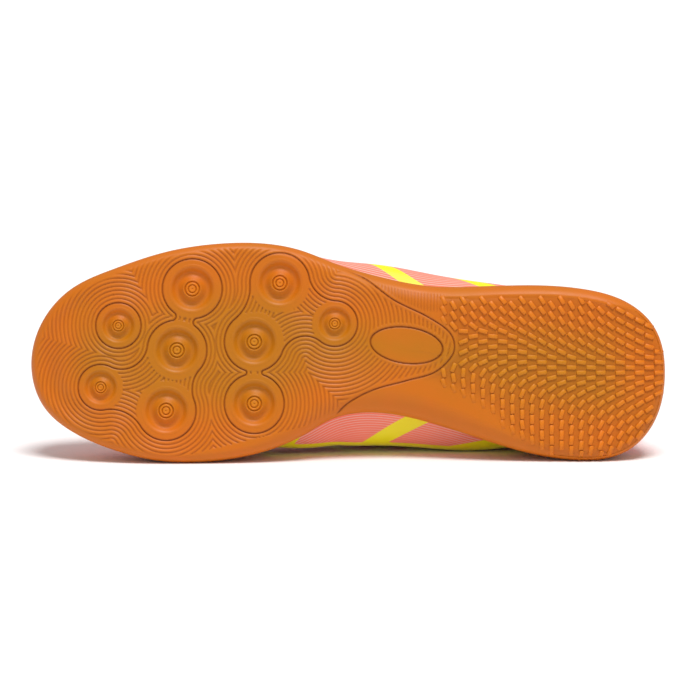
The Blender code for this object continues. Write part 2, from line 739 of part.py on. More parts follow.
def lace_run(start, end, number):
    """One run of the lace from hole to hole, over the eyestay and the tongue."""
    (hole_a, normal_a), (hole_b, normal_b) = start, end
    clear = LACE_RADIUS + 2 * FIT_GAP
    over = unit(normal_a + normal_b)
    middle = (hole_a + hole_b) / 2 + over * (2.8 * clear + 0.0004 * (number % 2))
    control = [
        hole_a + normal_a * 0.0006,
        hole_a + normal_a * (1.0 * clear),
        hole_a + over * (2.4 * clear) + (hole_b - hole_a) * 0.12,
        middle,
        hole_b + over * (2.4 * clear) + (hole_a - hole_b) * 0.12,
        hole_b + normal_b * (1.0 * clear),
        hole_b + normal_b * 0.0006,
    ]
    return tube(f"lace_run_{number}", control, LACE_RADIUS)


def tube(name, places, radius):
    """A round cord along some points, as a closed mesh."""
    guide = bpy.data.curves.new(name, "CURVE")
    guide.dimensions = "3D"
    guide.bevel_depth = radius
    guide.bevel_resolution = 1
    guide.use_fill_caps = True
    line = guide.splines.new("POLY")
    line.points.add(len(places) - 1)
    for point, place in zip(line.points, places):
        point.co = (*place, 1.0)
    drawn = new_object("guide", guide)
    bpy.context.view_layer.update()
    seen = drawn.evaluated_get(bpy.context.evaluated_depsgraph_get())
    mesh = bpy.data.meshes.new_from_object(seen)
    shell = bmesh.new()
    shell.from_mesh(mesh)
    bmesh.ops.remove_doubles(shell, verts=shell.verts, dist=0.00001)
    bmesh.ops.recalc_face_normals(shell, faces=shell.faces)
    shell.to_mesh(mesh)
    shell.free()
    mesh.shade_smooth()
    made = new_object(name, mesh)
    made.matrix_world = drawn.matrix_world
    bpy.data.objects.remove(drawn)
    return made


def lying_frame(solids):
    """The turn and shift that lay the standing shoe on its medial side, on the face of its hull that its
    weight falls in, with the shoe centred over the origin."""
    graph = bpy.context.evaluated_depsgraph_get()
    points = []
    for made in solids:
        seen = made.evaluated_get(graph)
        mesh = seen.to_mesh()
        points += [tuple(seen.matrix_world @ v.co) for v in mesh.vertices]
        seen.to_mesh_clear()
    hull = bmesh.new()
    for point in points:
        hull.verts.new(point)
    bmesh.ops.convex_hull(hull, input=hull.verts)
    hull.normal_update()
    weight = Vector(WEIGHT_CENTRE) * LENGTH
    down = None
    for face in hull.faces:
        out = face.normal if face.normal.dot(face.calc_center_median() - weight) > 0 else -face.normal
        if out.y < 0.8:
            continue
        foot = weight + out * (face.calc_center_median() - weight).dot(out)
        corners = [v.co for v in face.verts]
        sides = [(b - a).cross(foot - a).dot(out) for a, b in zip(corners, corners[1:] + corners[:1])]
        if min(sides) >= 0 or max(sides) <= 0:
            down = out
    hull.free()
    along = (Vector((1, 0, 0)) - down * down.x).normalized()
    turn = Matrix((along, (-down).cross(along), -down)).to_4x4()
    turned = np.array([turn @ Vector(p) for p in points])
    low, high = turned.min(0), turned.max(0)
    shift = Matrix.Translation((-(low[0] + high[0]) / 2, -(low[1] + high[1]) / 2, -low[2]))
    return shift @ turn


for old in list(bpy.data.objects):
    bpy.data.objects.remove(old)

SHOE = bpy.data.collections.new("indoor soccer shoe")
CUTTERS = bpy.data.collections.new("cutters")
bpy.context.scene.collection.children.link(SHOE)
bpy.context.scene.collection.children.link(CUTTERS)

GUM = surface("gum rubber", (0.68, 0.24, 0.035), 0.55)
CORAL = surface("coral textile", (0.85, 0.20, 0.22), 0.75)
LINING = surface("sock liner", (0.75, 0.16, 0.18), 0.9)
PADDING = surface("tongue mesh", (0.82, 0.19, 0.20), 0.85)
CORD = surface("lace weave", (0.80, 0.86, 0.05), 0.8)

shoe_parts = [
    (outsole(), GUM),
    (upper(), CORAL),
    (insole(), LINING),
    (tongue(), PADDING),
    (lace(), CORD),
]
for shoe_part, material in shoe_parts:
    shoe_part.data.materials.clear()
    shoe_part.data.materials.append(material)

bpy.context.view_layer.update()
LYING = lying_frame([shoe_part for shoe_part, _ in shoe_parts])
carrier = bpy.data.objects.new("lying_shoe", None)
SHOE.objects.link(carrier)
for child in [*SHOE.objects, *CUTTERS.objects]:
    if child is not carrier:
        child.parent = carrier
carrier.matrix_world = LYING
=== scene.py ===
"""Looks of a left indoor soccer shoe that lies on its medial side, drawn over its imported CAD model.

The pieces are drawn in the standing shoe's own axes, in metres: x runs from the toe's tip to the heel,
y towards the medial side and z up from the floor that it would stand on. One matrix, from the record,
lays them down.
"""

import json
import math

import bpy
import numpy as np
from mathutils import Matrix, Vector
from mathutils.kdtree import KDTree


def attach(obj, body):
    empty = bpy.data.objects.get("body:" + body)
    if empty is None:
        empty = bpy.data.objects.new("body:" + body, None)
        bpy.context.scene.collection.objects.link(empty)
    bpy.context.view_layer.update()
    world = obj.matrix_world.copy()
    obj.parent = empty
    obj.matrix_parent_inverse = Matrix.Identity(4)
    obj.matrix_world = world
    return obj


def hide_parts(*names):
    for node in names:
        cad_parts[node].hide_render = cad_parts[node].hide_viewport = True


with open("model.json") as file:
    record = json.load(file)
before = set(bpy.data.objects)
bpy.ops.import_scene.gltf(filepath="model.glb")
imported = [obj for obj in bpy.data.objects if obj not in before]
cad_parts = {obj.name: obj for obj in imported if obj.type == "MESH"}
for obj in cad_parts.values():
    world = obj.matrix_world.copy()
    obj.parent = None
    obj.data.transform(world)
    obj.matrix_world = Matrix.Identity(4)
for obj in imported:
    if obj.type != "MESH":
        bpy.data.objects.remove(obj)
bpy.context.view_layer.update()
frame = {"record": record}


# The camera, the light and the paper floor. The photograph looks straight at the tread, with the toe on the
# left. The heel's flat spot in the record gives the way the tread faces and one known place on it, and with
# them the turn of the lying shoe.
LENGTH = 0.290
BALL_WIDTH = 0.0995
HEEL_SPOT = (0.232, 0.004, 0.0)
PHOTO_SIDE_PX = 700
TOE_TIP_PX = (28, 362)
SHOE_LENGTH_PX = 639
CAMERA_DISTANCE = 1.6
CAMERA_SENSOR_MM = 36.0
CAMERA_REACH = 50.0
WORLD_STRENGTH = 0.43
LAMP_FROM = Vector((0.12, -0.34, 0.93))
LAMP_STRENGTH = 2.72
LAMP_SPREAD = math.radians(25.0)
FLOOR_SIDE = 60.0

heel_spot = next(mount for mount in frame["record"]["mounts"] if mount["name"] == "tread_heel")
shoe_up = -Vector(heel_spot["axis"]).normalized()
shoe_back = Vector((-shoe_up.z, 0.0, shoe_up.x)).normalized()
shoe_medial = shoe_up.cross(shoe_back)
TURN = Matrix((shoe_back, shoe_medial, shoe_up)).transposed()
LYING = Matrix.Translation(Vector(heel_spot["pos_m"]) - TURN @ Vector(HEEL_SPOT)) @ TURN.to_4x4()


def linear(colour, alpha=1.0):
    """An sRGB hex colour as Blender's linear one."""
    shares = [int(colour[i : i + 2], 16) / 255 for i in (1, 3, 5)]
    return (*((s / 12.92 if s <= 0.04045 else ((s + 0.055) / 1.055) ** 2.4) for s in shares), alpha)


def node(owner, kind, inputs=None, **settings):
    """Adds a shader node to a material or the world. inputs gives each socket a value or a node's output."""
    made = owner.node_tree.nodes.new("ShaderNode" + kind)
    for name, value in settings.items():
        setattr(made, name, value)
    for socket, value in (inputs or {}).items():
        if isinstance(value, bpy.types.NodeSocket):
            owner.node_tree.links.new(value, made.inputs[socket])
        else:
            made.inputs[socket].default_value = value
    return made


def new_material(name):
    material = bpy.data.materials.new(name)
    material.use_nodes = True
    material.node_tree.nodes.clear()
    return material


def finish_material(material, shader):
    node(material, "OutputMaterial", {"Surface": shader.outputs[0]})
    return material


metres_per_px = LENGTH / SHOE_LENGTH_PX
aim = [(PHOTO_SIDE_PX / 2 - start) * metres_per_px for start in TOE_TIP_PX]
camera_data = bpy.data.cameras.new("camera")
camera_data.sensor_width = CAMERA_SENSOR_MM
camera_data.lens = CAMERA_SENSOR_MM * CAMERA_DISTANCE / (PHOTO_SIDE_PX * metres_per_px)
camera_data.clip_end = CAMERA_REACH
camera = bpy.data.objects.new("camera", camera_data)
bpy.context.scene.collection.objects.link(camera)
facing = Matrix((shoe_back, -shoe_medial, -shoe_up)).transposed().to_4x4()
camera.matrix_world = Matrix.Translation(LYING @ Vector((*aim, -CAMERA_DISTANCE))) @ facing
bpy.context.scene.camera = camera
bpy.context.scene.view_settings.view_transform = "Standard"

# A white studio: its walls look white, and light the shoe less than the lamp does
world = bpy.data.worlds.new("studio")
world.use_nodes = True
backdrop = world.node_tree.nodes["Background"]
backdrop.inputs["Color"].default_value = linear("#FFFFFF")
seen = node(world, "LightPath").outputs["Is Camera Ray"]
strength = node(world, "MapRange", {"Value": seen, "To Min": WORLD_STRENGTH})
world.node_tree.links.new(strength.outputs[0], backdrop.inputs["Strength"])
bpy.context.scene.world = world

# One broad soft light from above and a little in front, as from a large softbox close to the shoe
overhead = bpy.data.lights.new("overhead", "SUN")
overhead.energy = LAMP_STRENGTH
overhead.angle = LAMP_SPREAD
lamp = bpy.data.objects.new("overhead", overhead)
bpy.context.scene.collection.objects.link(lamp)
lamp.rotation_euler = LAMP_FROM.to_track_quat("Z", "Y").to_euler()

# White coated paper: a matt sheet with hardly any gloss
paper = new_material("coated_paper")
sheet = node(paper, "BsdfPrincipled", {"Base Color": linear("#FBFBFB"), "Roughness": 0.9, "IOR": 1.3})
finish_material(paper, sheet)
floor_mesh = bpy.data.meshes.new("floor")
corners = [(x * FLOOR_SIDE / 2, y * FLOOR_SIDE / 2, 0.0) for x, y in ((-1, -1), (1, -1), (1, 1), (-1, 1))]
floor_mesh.from_pydata(corners, [], [(0, 1, 2, 3)])
floor_mesh.materials.append(paper)
floor = bpy.data.objects.new("floor", floor_mesh)
bpy.context.scene.collection.objects.link(floor)


# The outsole: one piece of gum rubber, pressed in a mould, with a flat tread, a rounded edge and a cup that
# the upper is cemented into. Its side wall is drawn first, and the tread's relief is laid into it below.
SOLE_STATIONS = 960
TOE_SPRING = 0.010
ARCH_LIFT = 0.0022
HEEL_BEVEL = 0.0035
SOLE_FOREFOOT = 0.0085
SOLE_HEEL = 0.0135
EDGE_ROUND = 0.0060
CUP_DEPTH = 0.0080
CUP_WALL = 0.0020
CUP_DRAFT = 0.0007
CUP_CORNER = 0.0014
CUP_LEAN = 0.16
FLOOR_GAP = 0.00005

# The tread's own mesh stops this far inside the outline, and the wall's goes on a little way behind it
TREAD_STOP = 0.0009
TUCK_IN = 0.0006
TUCK_DEPTH = 0.00025

# Shares of LENGTH: where the bottom leaves the floor, and where the bed climbs from forefoot to heel
TOE_BREAK = 0.20
ARCH_FRONT = 0.46
ARCH_BACK = 0.72
HEEL_BREAK = 0.86
BED_RISE_START = 0.36
BED_RISE_END = 0.74
BED_TOE_SHARE = 0.75

# The outline from the toe's tip round the medial side: shares of LENGTH and of BALL_WIDTH
SOLE_OUTLINE = (
    (0.000, 0.005), (0.022, 0.213), (0.066, 0.320), (0.131, 0.402), (0.197, 0.450), (0.269, 0.459),
    (0.340, 0.432), (0.396, 0.384), (0.438, 0.324), (0.473, 0.266), (0.540, 0.233), (0.629, 0.279),
    (0.709, 0.353), (0.773, 0.409), (0.833, 0.443), (0.890, 0.449), (0.942, 0.404), (0.978, 0.300),
    (1.000, 0.055), (0.984, -0.155), (0.942, -0.270), (0.876, -0.332), (0.789, -0.352), (0.701, -0.346),
    (0.621, -0.351), (0.548, -0.393), (0.482, -0.450), (0.426, -0.512), (0.371, -0.542), (0.300, -0.542),
    (0.219, -0.507), (0.131, -0.425), (0.066, -0.338), (0.022, -0.205),
)

# The way round, then shares of EDGE_ROUND for how far the flat tread stops inside the outline and how high
# the widest line lies, and of CUP_DEPTH for the rim
SOLE_EDGE = (
    (0.000, 0.90, 1.10, 1.15), (0.060, 0.85, 1.00, 1.08), (0.150, 0.80, 0.95, 0.98),
    (0.205, 1.10, 1.15, 0.92), (0.250, 1.95, 1.50, 0.85), (0.300, 2.00, 1.60, 0.85),
    (0.345, 1.45, 1.45, 0.92), (0.400, 1.00, 1.20, 1.02), (0.500, 0.90, 1.15, 1.25),
    (0.590, 1.10, 1.20, 1.05), (0.640, 1.45, 1.35, 0.92), (0.700, 1.60, 1.40, 0.88),
    (0.755, 1.30, 1.20, 0.88), (0.810, 0.85, 0.95, 0.96), (0.900, 0.80, 0.95, 1.05),
)

# The side wall of the waist's lateral side carries fine upright ribs between these ways round
WALL_RIBS = (0.655, 0.735)
WALL_RIB_FADE = 0.012
WALL_RIB_PITCH = 0.0013
WALL_RIB_DEPTH = 0.00025
WALL_RIB_TOP = 0.75

# A fine line is pressed into the wall under its rim: its share of the way up, and its depth
MOULD_LINE = 0.845
MOULD_LINE_DEPTH = 0.00035

# The wall's rings: shares of TREAD_STOP round the edge, of the way up the wall, and of CUP_WALL inwards and
# up as the rim turns over
EDGE_SHARES = (1.1, 0.85, 0.6, 0.4, 0.22, 0.1, 0.03, 0.0)
WALL_SHARES = (0.06, 0.14, 0.26, 0.42, 0.58, 0.72, 0.80, 0.83, 0.86, 0.89, 0.94)
RIM_TURN = ((0.0, -1 / 3), (1 / 9, -1 / 9), (1 / 3, 0.0), (0.8, 0.0), (1.0, -0.15))


def closed_spline(rows):
    """A smooth closed curve through rows that start with the way round, 0 to 1; returns a function of it."""
    rows = np.asarray(rows, float)
    knots, values = rows[:, 0], rows[:, 1:]
    count = len(knots)
    steps = np.diff(np.append(knots, knots[0] + 1.0))
    slopes = (np.roll(values, -1, 0) - values) / steps[:, None]
    system = np.zeros((count, count))
    for i in range(count):
        before = steps[i - 1]
        system[i, i - 1] += before
        system[i, i] += 2.0 * (before + steps[i])
        system[i, (i + 1) % count] += steps[i]
    bends = np.linalg.solve(system, 6.0 * (slopes - np.roll(slopes, 1, 0)))

    def at(around):
        place = (np.atleast_1d(around) - knots[0]) % 1.0 + knots[0]
        i = np.clip(np.searchsorted(knots, place, side="right") - 1, 0, count - 1)
        step = steps[i][:, None]
        late = (place - knots[i])[:, None] / step
        early = 1.0 - late
        after = (i + 1) % count
        bent = (early**3 - early) * bends[i] + (late**3 - late) * bends[after]
        return early * values[i] + late * values[after] + step**2 / 6.0 * bent

    return at


def length_shares(points):
    """The way round a closed row of points, as shares of its whole length."""
    steps = np.linalg.norm(np.roll(points, -1, 0) - points, axis=1)
    return np.concatenate([[0.0], np.cumsum(steps)]) / steps.sum()


def sole_outline():
    """The outline as a function of the way round, by length."""
    rows = np.asarray(SOLE_OUTLINE) * (LENGTH, BALL_WIDTH)
    rough = closed_spline(np.column_stack([length_shares(rows)[:-1], rows]))
    fine = np.linspace(0.0, 1.0, 1500, endpoint=False)
    shares = length_shares(rough(fine))
    return lambda around: rough(np.interp(np.asarray(around) % 1.0, shares, np.append(fine, 1.0)))


OUTLINE = sole_outline()
EDGE = closed_spline(SOLE_EDGE)


def smooth_step(value, low, high):
    share = np.clip((value - low) / (high - low), 0.0, 1.0)
    return share * share * (3.0 - 2.0 * share)


def bottom_height(x):
    """The tread's height over the floor that the shoe would stand on."""
    along = np.asarray(x) / LENGTH
    toe = np.clip(1.0 - along / TOE_BREAK, 0.0, 1.0) ** 2
    arch = np.sin(np.pi * np.clip((along - ARCH_FRONT) / (ARCH_BACK - ARCH_FRONT), 0.0, 1.0)) ** 2
    heel = np.clip((along - HEEL_BREAK) / (1.0 - HEEL_BREAK), 0.0, 1.0) ** 2
    return TOE_SPRING * toe + ARCH_LIFT * arch + HEEL_BEVEL * heel


def bed_height(x):
    """The top of the sole inside its cup, which carries the insole."""
    along = np.asarray(x) / LENGTH
    toe = np.clip(1.0 - along / TOE_BREAK, 0.0, 1.0) ** 2
    rise = smooth_step(along, BED_RISE_START, BED_RISE_END)
    return BED_TOE_SHARE * TOE_SPRING * toe + SOLE_FOREFOOT + (SOLE_HEEL - SOLE_FOREFOOT) * rise


def inwards(around):
    """The unit direction in plan from the outline into the sole."""
    step = 1e-3
    along = OUTLINE(np.asarray(around) + step) - OUTLINE(np.asarray(around) - step)
    along /= np.linalg.norm(along, axis=1)[:, None]
    return np.column_stack([along[:, 1], -along[:, 0]])


def ring(around, inset, height):
    """Points at a distance inside the outline; height is a number, an array or a function of x."""
    plan = OUTLINE(around) + inwards(around) * np.broadcast_to(inset, len(around))[:, None]
    z = height(plan[:, 0]) if callable(height) else np.broadcast_to(height, len(around))
    return np.column_stack([plan, z])


def rim_height(around):
    return bed_height(OUTLINE(around)[:, 0]) + CUP_DEPTH * EDGE(around)[:, 2]


def widest_height(around):
    """The height of the sole's widest line, where its rounded edge ends."""
    return bottom_height(OUTLINE(around)[:, 0]) + EDGE(around)[:, 1] * EDGE_ROUND


def cup_inset(around):
    """How far inside the outline the cup's outer face is at its rim."""
    return CUP_LEAN * (rim_height(around) - widest_height(around))


def cup_foot(around):
    """How far inside the outline the cup's inner face is at the bed."""
    return cup_inset(around) + CUP_WALL + CUP_DRAFT


def edge_profile(around, inset):
    """The height of the rounded edge at a distance inside the outline."""
    stop = EDGE(around)[:, 0] * EDGE_ROUND
    tread = bottom_height(OUTLINE(around)[:, 0])
    sine = np.clip(1.0 - inset / stop, 0.0, 1.0)
    return tread + (widest_height(around) - tread) * (1.0 - np.sqrt(1.0 - sine**2))


def add_piece(name, points, faces, material, smooth=True, attributes=None):
    """A mesh drawn in the standing shoe's axes and laid down, that rides on the shoe's one body."""
    points = np.asarray(points) @ np.array(LYING)[:3, :3].T + np.array(LYING)[:3, 3]
    # Soft padding and rubber give a little where they rest on the floor
    points[:, 2] = np.maximum(points[:, 2], FLOOR_GAP)
    sizes = np.array([len(face) for face in faces])
    corners = np.concatenate(faces).astype(np.int32)
    mesh = bpy.data.meshes.new(name)
    mesh.vertices.add(len(points))
    mesh.vertices.foreach_set("co", points.astype(np.float32).ravel())
    mesh.loops.add(len(corners))
    mesh.loops.foreach_set("vertex_index", corners)
    mesh.polygons.add(len(sizes))
    mesh.polygons.foreach_set("loop_start", (np.cumsum(sizes) - sizes).astype(np.int32))
    mesh.update(calc_edges=True)
    mesh.validate()
    for label, values in (attributes or {}).items():
        layer = mesh.attributes.new(label, "FLOAT", "POINT")
        layer.data.foreach_set("value", np.asarray(values, np.float32))
    if smooth:
        mesh.shade_smooth()
    mesh.materials.append(material)
    made = bpy.data.objects.new(name, mesh)
    bpy.context.scene.collection.objects.link(made)
    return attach(made, "root")


def band_faces(rows, count):
    """Quads between neighbouring rings of equal length."""
    index = np.arange(rows * count).reshape(rows, count)
    here, above = index[:-1], index[1:]
    return np.stack([here, np.roll(here, -1, 1), np.roll(above, -1, 1), above], -1).reshape(-1, 4)


def cap_faces(first, count):
    """Quads across a ring, between its two halves; first is the number of its first point."""
    half = np.arange(1, count // 2 - 1)
    return first + np.stack([half, half + 1, count - half - 1, count - half], -1)


def gum_rubber():
    """Natural gum rubber, pressed against a fine-grained steel mould: warm amber, satin, yellower along the
    middle and redder towards the edges, with painted shade in its grooves and painted highlight on its ribs,
    blocks and pips."""
    material = new_material("moulded_gum_rubber")
    place = node(material, "TexCoord").outputs["Object"]
    groove = node(material, "Attribute", attribute_name="groove").outputs["Fac"]
    ochre = node(material, "Attribute", attribute_name="ochre").outputs["Fac"]
    # Soft drifts of colour, about 26 mm across
    clouds = node(material, "TexNoise", {"Vector": place, "Scale": 38.0, "Detail": 5.0, "Roughness": 0.6})
    drift = node(material, "MapRange", {"Value": clouds.outputs["Fac"], "From Min": 0.35, "From Max": 0.65})
    blend = node(material, "Math", {0: drift.outputs[0], 1: 0.35, 2: ochre}, operation="MULTIPLY_ADD")
    body = node(
        material, "Mix", {0: blend.outputs[0], 6: linear("#CB6908"), 7: linear("#B86E04")}, data_type="RGBA"
    )
    # Painted shade: above 0 the groove attribute mixes the rubber towards dark #853A00; below 0 the unclamped
    # mix lightens it as painted highlight
    in_groove = {0: groove, 6: body.outputs[2], 7: linear("#853A00")}
    deep = node(material, "Mix", in_groove, data_type="RGBA", clamp_factor=False)
    # Mould grain of about 0.25 mm, drawn at 0.6 mm so that it shows
    grain = node(material, "TexNoise", {"Vector": place, "Scale": 1600.0, "Detail": 2.0})
    # Patches of about 8 mm, some a little duller than others
    dust = node(material, "TexNoise", {"Vector": place, "Scale": 120.0, "Detail": 4.0})
    rough = node(material, "MapRange", {"Value": dust.outputs["Fac"], "To Min": 0.38, "To Max": 0.56})
    bump = node(material, "Bump", {"Height": grain.outputs["Fac"], "Strength": 0.10, "Distance": 0.0002})
    shader = node(
        material,
        "BsdfPrincipled",
        {
            "Base Color": deep.outputs[2],
            "Roughness": rough.outputs[0],
            "IOR": 1.52,
            "Specular IOR Level": 0.27,
            "Normal": bump.outputs[0],
        },
    )
    return finish_material(material, shader)


GUM = gum_rubber()


def ochre_share(inset):
    """How yellow the rubber looks: most in the middle of the tread, fading to 0 towards its edge."""
    return 0.85 * smooth_step(inset, 0.012, 0.036)


around = np.arange(SOLE_STATIONS) / SOLE_STATIONS
tuck = TREAD_STOP + TUCK_IN
wall_rings = [ring(around, tuck, edge_profile(around, tuck) + TUCK_DEPTH)]
for share in EDGE_SHARES:
    wall_rings.append(ring(around, TREAD_STOP * share, edge_profile(around, TREAD_STOP * share)))
rim = rim_height(around)
wall_start = widest_height(around)
outside = cup_inset(around)
perimeter = np.linalg.norm(np.diff(OUTLINE(around), axis=0), axis=1).sum()
ribbed = smooth_step(around, WALL_RIBS[0], WALL_RIBS[0] + WALL_RIB_FADE)
ribbed -= smooth_step(around, WALL_RIBS[1] - WALL_RIB_FADE, WALL_RIBS[1])
ribbed *= 0.5 - 0.5 * np.cos(2 * np.pi * around * perimeter / WALL_RIB_PITCH)
for share in WALL_SHARES:
    line = MOULD_LINE_DEPTH * (abs(share - MOULD_LINE) < 0.02)
    ribs = WALL_RIB_DEPTH * ribbed * (share < WALL_RIB_TOP)
    height = wall_start + (rim - CUP_WALL / 3 - wall_start) * share
    wall_rings.append(ring(around, outside * share + line + ribs, height))
for inwards_share, up_share in RIM_TURN:
    wall_rings.append(ring(around, outside + CUP_WALL * inwards_share, rim + CUP_WALL * up_share))
wall_rings.append(ring(around, cup_foot(around), bed_height(OUTLINE(around)[:, 0]) + CUP_CORNER))
wall_rings.append(ring(around, cup_foot(around) + CUP_CORNER, bed_height))
wall_points = np.concatenate(wall_rings)
wall_faces = band_faces(len(wall_rings), SOLE_STATIONS)
outsole_wall = add_piece(
    "outsole_wall",
    wall_points,
    np.concatenate([wall_faces, cap_faces(len(wall_points) - SOLE_STATIONS, SOLE_STATIONS)]),
    GUM,
    attributes={"groove": np.zeros(len(wall_points)), "ochre": np.zeros(len(wall_points))},
)
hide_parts("outsole")


# The forefoot's tread, in the same rubber: nine turned pivot pods stand in groups outlined by a deep groove
# in painted shade, and fine ribs follow those outlines over the rest, round a plain oval in the waist.
GRID_STEP = 0.00040
FOREFOOT_END = 0.2000
POD_RADIUS = 0.0136
SMALL_POD_RADIUS = 0.0104
RIB_PITCH = 0.00186
RIB_WIDTH = 0.00125
RIB_DEPTH = 0.00060
RIB_FADE = (0.0020, 0.0042)
OUTLINE_GROOVE_WIDTH = 0.00105
OUTLINE_GROOVE_DEPTH = 0.00095
OVAL_DEPTH = 0.00035
OVAL_MARGIN = 0.0011
BLOCK_HEIGHT = 0.0006

# Fine teeth like a comb's along the waist's lateral edge: from and to these distances inside the outline
COMB_FROM = (0.0030, 0.0042)
COMB_TO = (0.0105, 0.0130)
COMB_PITCH = 0.00145
COMB_DEPTH = 0.00030

# Where the blocks begin on each side of the shoe, in x, and the plain lateral edge with its end at the heel
LATERAL_START = (0.184, 0.192)
MEDIAL_START = (0.172, 0.180)
LATERAL_PLAIN = 0.0036
PLAIN_END = (0.262, 0.280)

# Painted light on the rubber: how much painted shade darkens it down in the ribs' grooves, the outlines and
# between the blocks, up to 1, and below 0 how much painted highlight lightens it on the ribs, the blocks and
# the pods' pips, where more light reaches them
RIB_SHADE = 0.30
CREST_HIGHLIGHT = -0.13
OUTLINE_SHADE = 1.0
BASE_SHADE = 0.18
BLOCK_HIGHLIGHT = -0.30
PIP_HIGHLIGHT = -0.30

# Each pod's centre, as shares of LENGTH and BALL_WIDTH, and its radius
PODS = (
    (0.141, -0.166, SMALL_POD_RADIUS),
    (0.257, -0.334, POD_RADIUS),
    (0.233, -0.054, POD_RADIUS),
    (0.113, 0.116, SMALL_POD_RADIUS),
    (0.216, 0.222, POD_RADIUS),
    (0.394, -0.361, POD_RADIUS),
    (0.354, -0.092, POD_RADIUS),
    (0.480, -0.175, SMALL_POD_RADIUS),
    (0.354, 0.190, POD_RADIUS),
)
POD_CENTRES = np.array([pod[:2] for pod in PODS]) * (LENGTH, BALL_WIDTH)
POD_RADII = np.array([pod[2] for pod in PODS])
# Each group's outline goes round these pods in turn: a pod, and the radius of the hollow that leads on
POD_GROUPS = (
    ((0, None),),
    ((1, 0.00197), (2, 0.0135), (4, 0.0160), (3, 0.0118), (2, 0.00197)),
    ((5, 0.0130), (7, 0.0110), (6, 0.00115), (8, 0.00115), (6, 0.0186)),
)

# The oval: centre, length and width as shares of LENGTH and BALL_WIDTH by turns, and its turn
SHANK_OVAL = (0.5925, -0.076, 0.114, 0.166)
SHANK_OVAL_TURN = math.radians(7.5)

# The groove that parts the forefoot from the rear tread, from the lateral edge round the oval and back
SHANK_GROOVE = (
    (0.482, -0.475), (0.494, -0.429), (0.530, -0.375), (0.572, -0.284), (0.623, -0.210), (0.656, -0.146),
    (0.667, -0.088), (0.663, -0.025), (0.636, 0.048), (0.592, 0.086), (0.540, 0.128), (0.500, 0.189),
    (0.476, 0.262),
)

# The edge of the smooth medial waist, in px of the photograph
SMOOTH_EDGE_PX = ((405, 372), (420, 383), (450, 395), (480, 410), (500, 430), (520, 447), (545, 462))
# A pod's turned profile from its pip outwards: share of the radius, depth below the tread in mm. The
# forefoot's mesh has a hole of PIT_SHARE of the radius, and the pod's goes on a little way behind it.
POD_PROFILE = (
    (0.000, 0.25), (0.045, 0.10), (0.080, 0.00), (0.105, 0.15), (0.130, 0.75), (0.155, 0.15), (0.178, 0.00),
    (0.205, 0.15), (0.238, 0.95), (0.268, 0.25), (0.292, 0.15), (0.325, 0.55), (0.400, 1.45), (0.460, 2.00),
    (0.520, 2.20), (0.580, 1.95), (0.640, 1.20), (0.690, 0.50), (0.740, 0.12), (0.780, 0.00), (0.830, 0.00),
)
PIT_SHARE = 0.79

# The grooves round a pod's pip: share of the radius, width and painted shade; and where the pip's painted
# highlight ends
PIP_RINGS = ((0.130, 0.060, 0.50), (0.238, 0.080, 0.45))
PIP_EDGE = (0.24, 0.31)
POD_TURNS = 96
POD_RINGS = 60
POD_TUCK = 0.0003


def smooth_path(points, spacing):
    """Points at about this spacing along a smooth open curve through the given ones."""
    points = np.asarray(points, float)
    padded = np.vstack([2 * points[0] - points[1], points, 2 * points[-1] - points[-2]])
    pieces = []
    for a, b, c, d in zip(padded, padded[1:], padded[2:], padded[3:]):
        count = max(2, int(np.linalg.norm(c - b) / spacing))
        t = np.linspace(0.0, 1.0, count, endpoint=False)[:, None]
        bend = (2 * a - 5 * b + 4 * c - d) * t**2 + (3 * b - a - 3 * c + d) * t**3
        pieces.append(0.5 * (2 * b + (c - a) * t + bend))
    return np.vstack([*pieces, points[-1:]])


def arc(centre, radius, start, end, sense, spacing):
    """Points on a circle from the side that faces start to the side that faces end."""
    first = math.atan2(*(start - centre)[::-1])
    sweep = sense * ((sense * (math.atan2(*(end - centre)[::-1]) - first)) % (2 * math.pi))
    turns = first + sweep * np.linspace(0.0, 1.0, max(3, int(abs(sweep) * radius / spacing)))
    return centre + radius * np.column_stack([np.cos(turns), np.sin(turns)])


def group_outline(group, spacing):
    """The outline of a group of pods: arcs of their circles, joined by the hollows between them."""
    centres = [POD_CENTRES[pod] for pod, _ in group]
    radii = [POD_RADII[pod] for pod, _ in group]
    if len(group) == 1:
        turns = np.arange(0.0, 2 * math.pi, spacing / radii[0])
        return centres[0] + radii[0] * np.column_stack([np.cos(turns), np.sin(turns)])
    hollows = []
    for i, (_, hollow) in enumerate(group):
        here, there = centres[i], centres[(i + 1) % len(group)]
        apart = np.linalg.norm(there - here)
        u = (there - here) / apart
        side = np.array([u[1], -u[0]])
        reach_here, reach_there = radii[i] + hollow, radii[(i + 1) % len(group)] + hollow
        along = (apart**2 + reach_here**2 - reach_there**2) / (2 * apart)
        hollows.append(here + u * along + side * math.sqrt(max(reach_here**2 - along**2, 0.0)))
    outline = []
    for i, (_, hollow) in enumerate(group):
        before, after = hollows[i - 1], hollows[i]
        outline.append(arc(centres[i], radii[i], before, after, 1.0, spacing))
        outline.append(arc(after, hollow, centres[i], centres[(i + 1) % len(group)], -1.0, spacing))
    return np.vstack(outline)


def nearest(plan, samples):
    """Distance to, and number of, the nearest sample of each point in plan."""
    tree = KDTree(len(samples))
    for number, sample in enumerate(samples):
        tree.insert((*sample, 0.0), number)
    tree.balance()
    found = [tree.find((x, y, 0.0))[1:] for x, y in plan]
    return np.array([distance for _, distance in found]), np.array([number for number, _ in found])


def inside(plan, loop):
    """Whether each point in plan lies inside a closed loop."""
    crossings = np.zeros(len(plan), int)
    for (xa, ya), (xb, yb) in zip(loop, np.roll(loop, -1, 0)):
        if ya != yb:
            spans = (plan[:, 1] < ya) != (plan[:, 1] < yb)
            crossings += spans & (plan[:, 0] < xa + (plan[:, 1] - ya) / (yb - ya) * (xb - xa))
    return crossings % 2 == 1


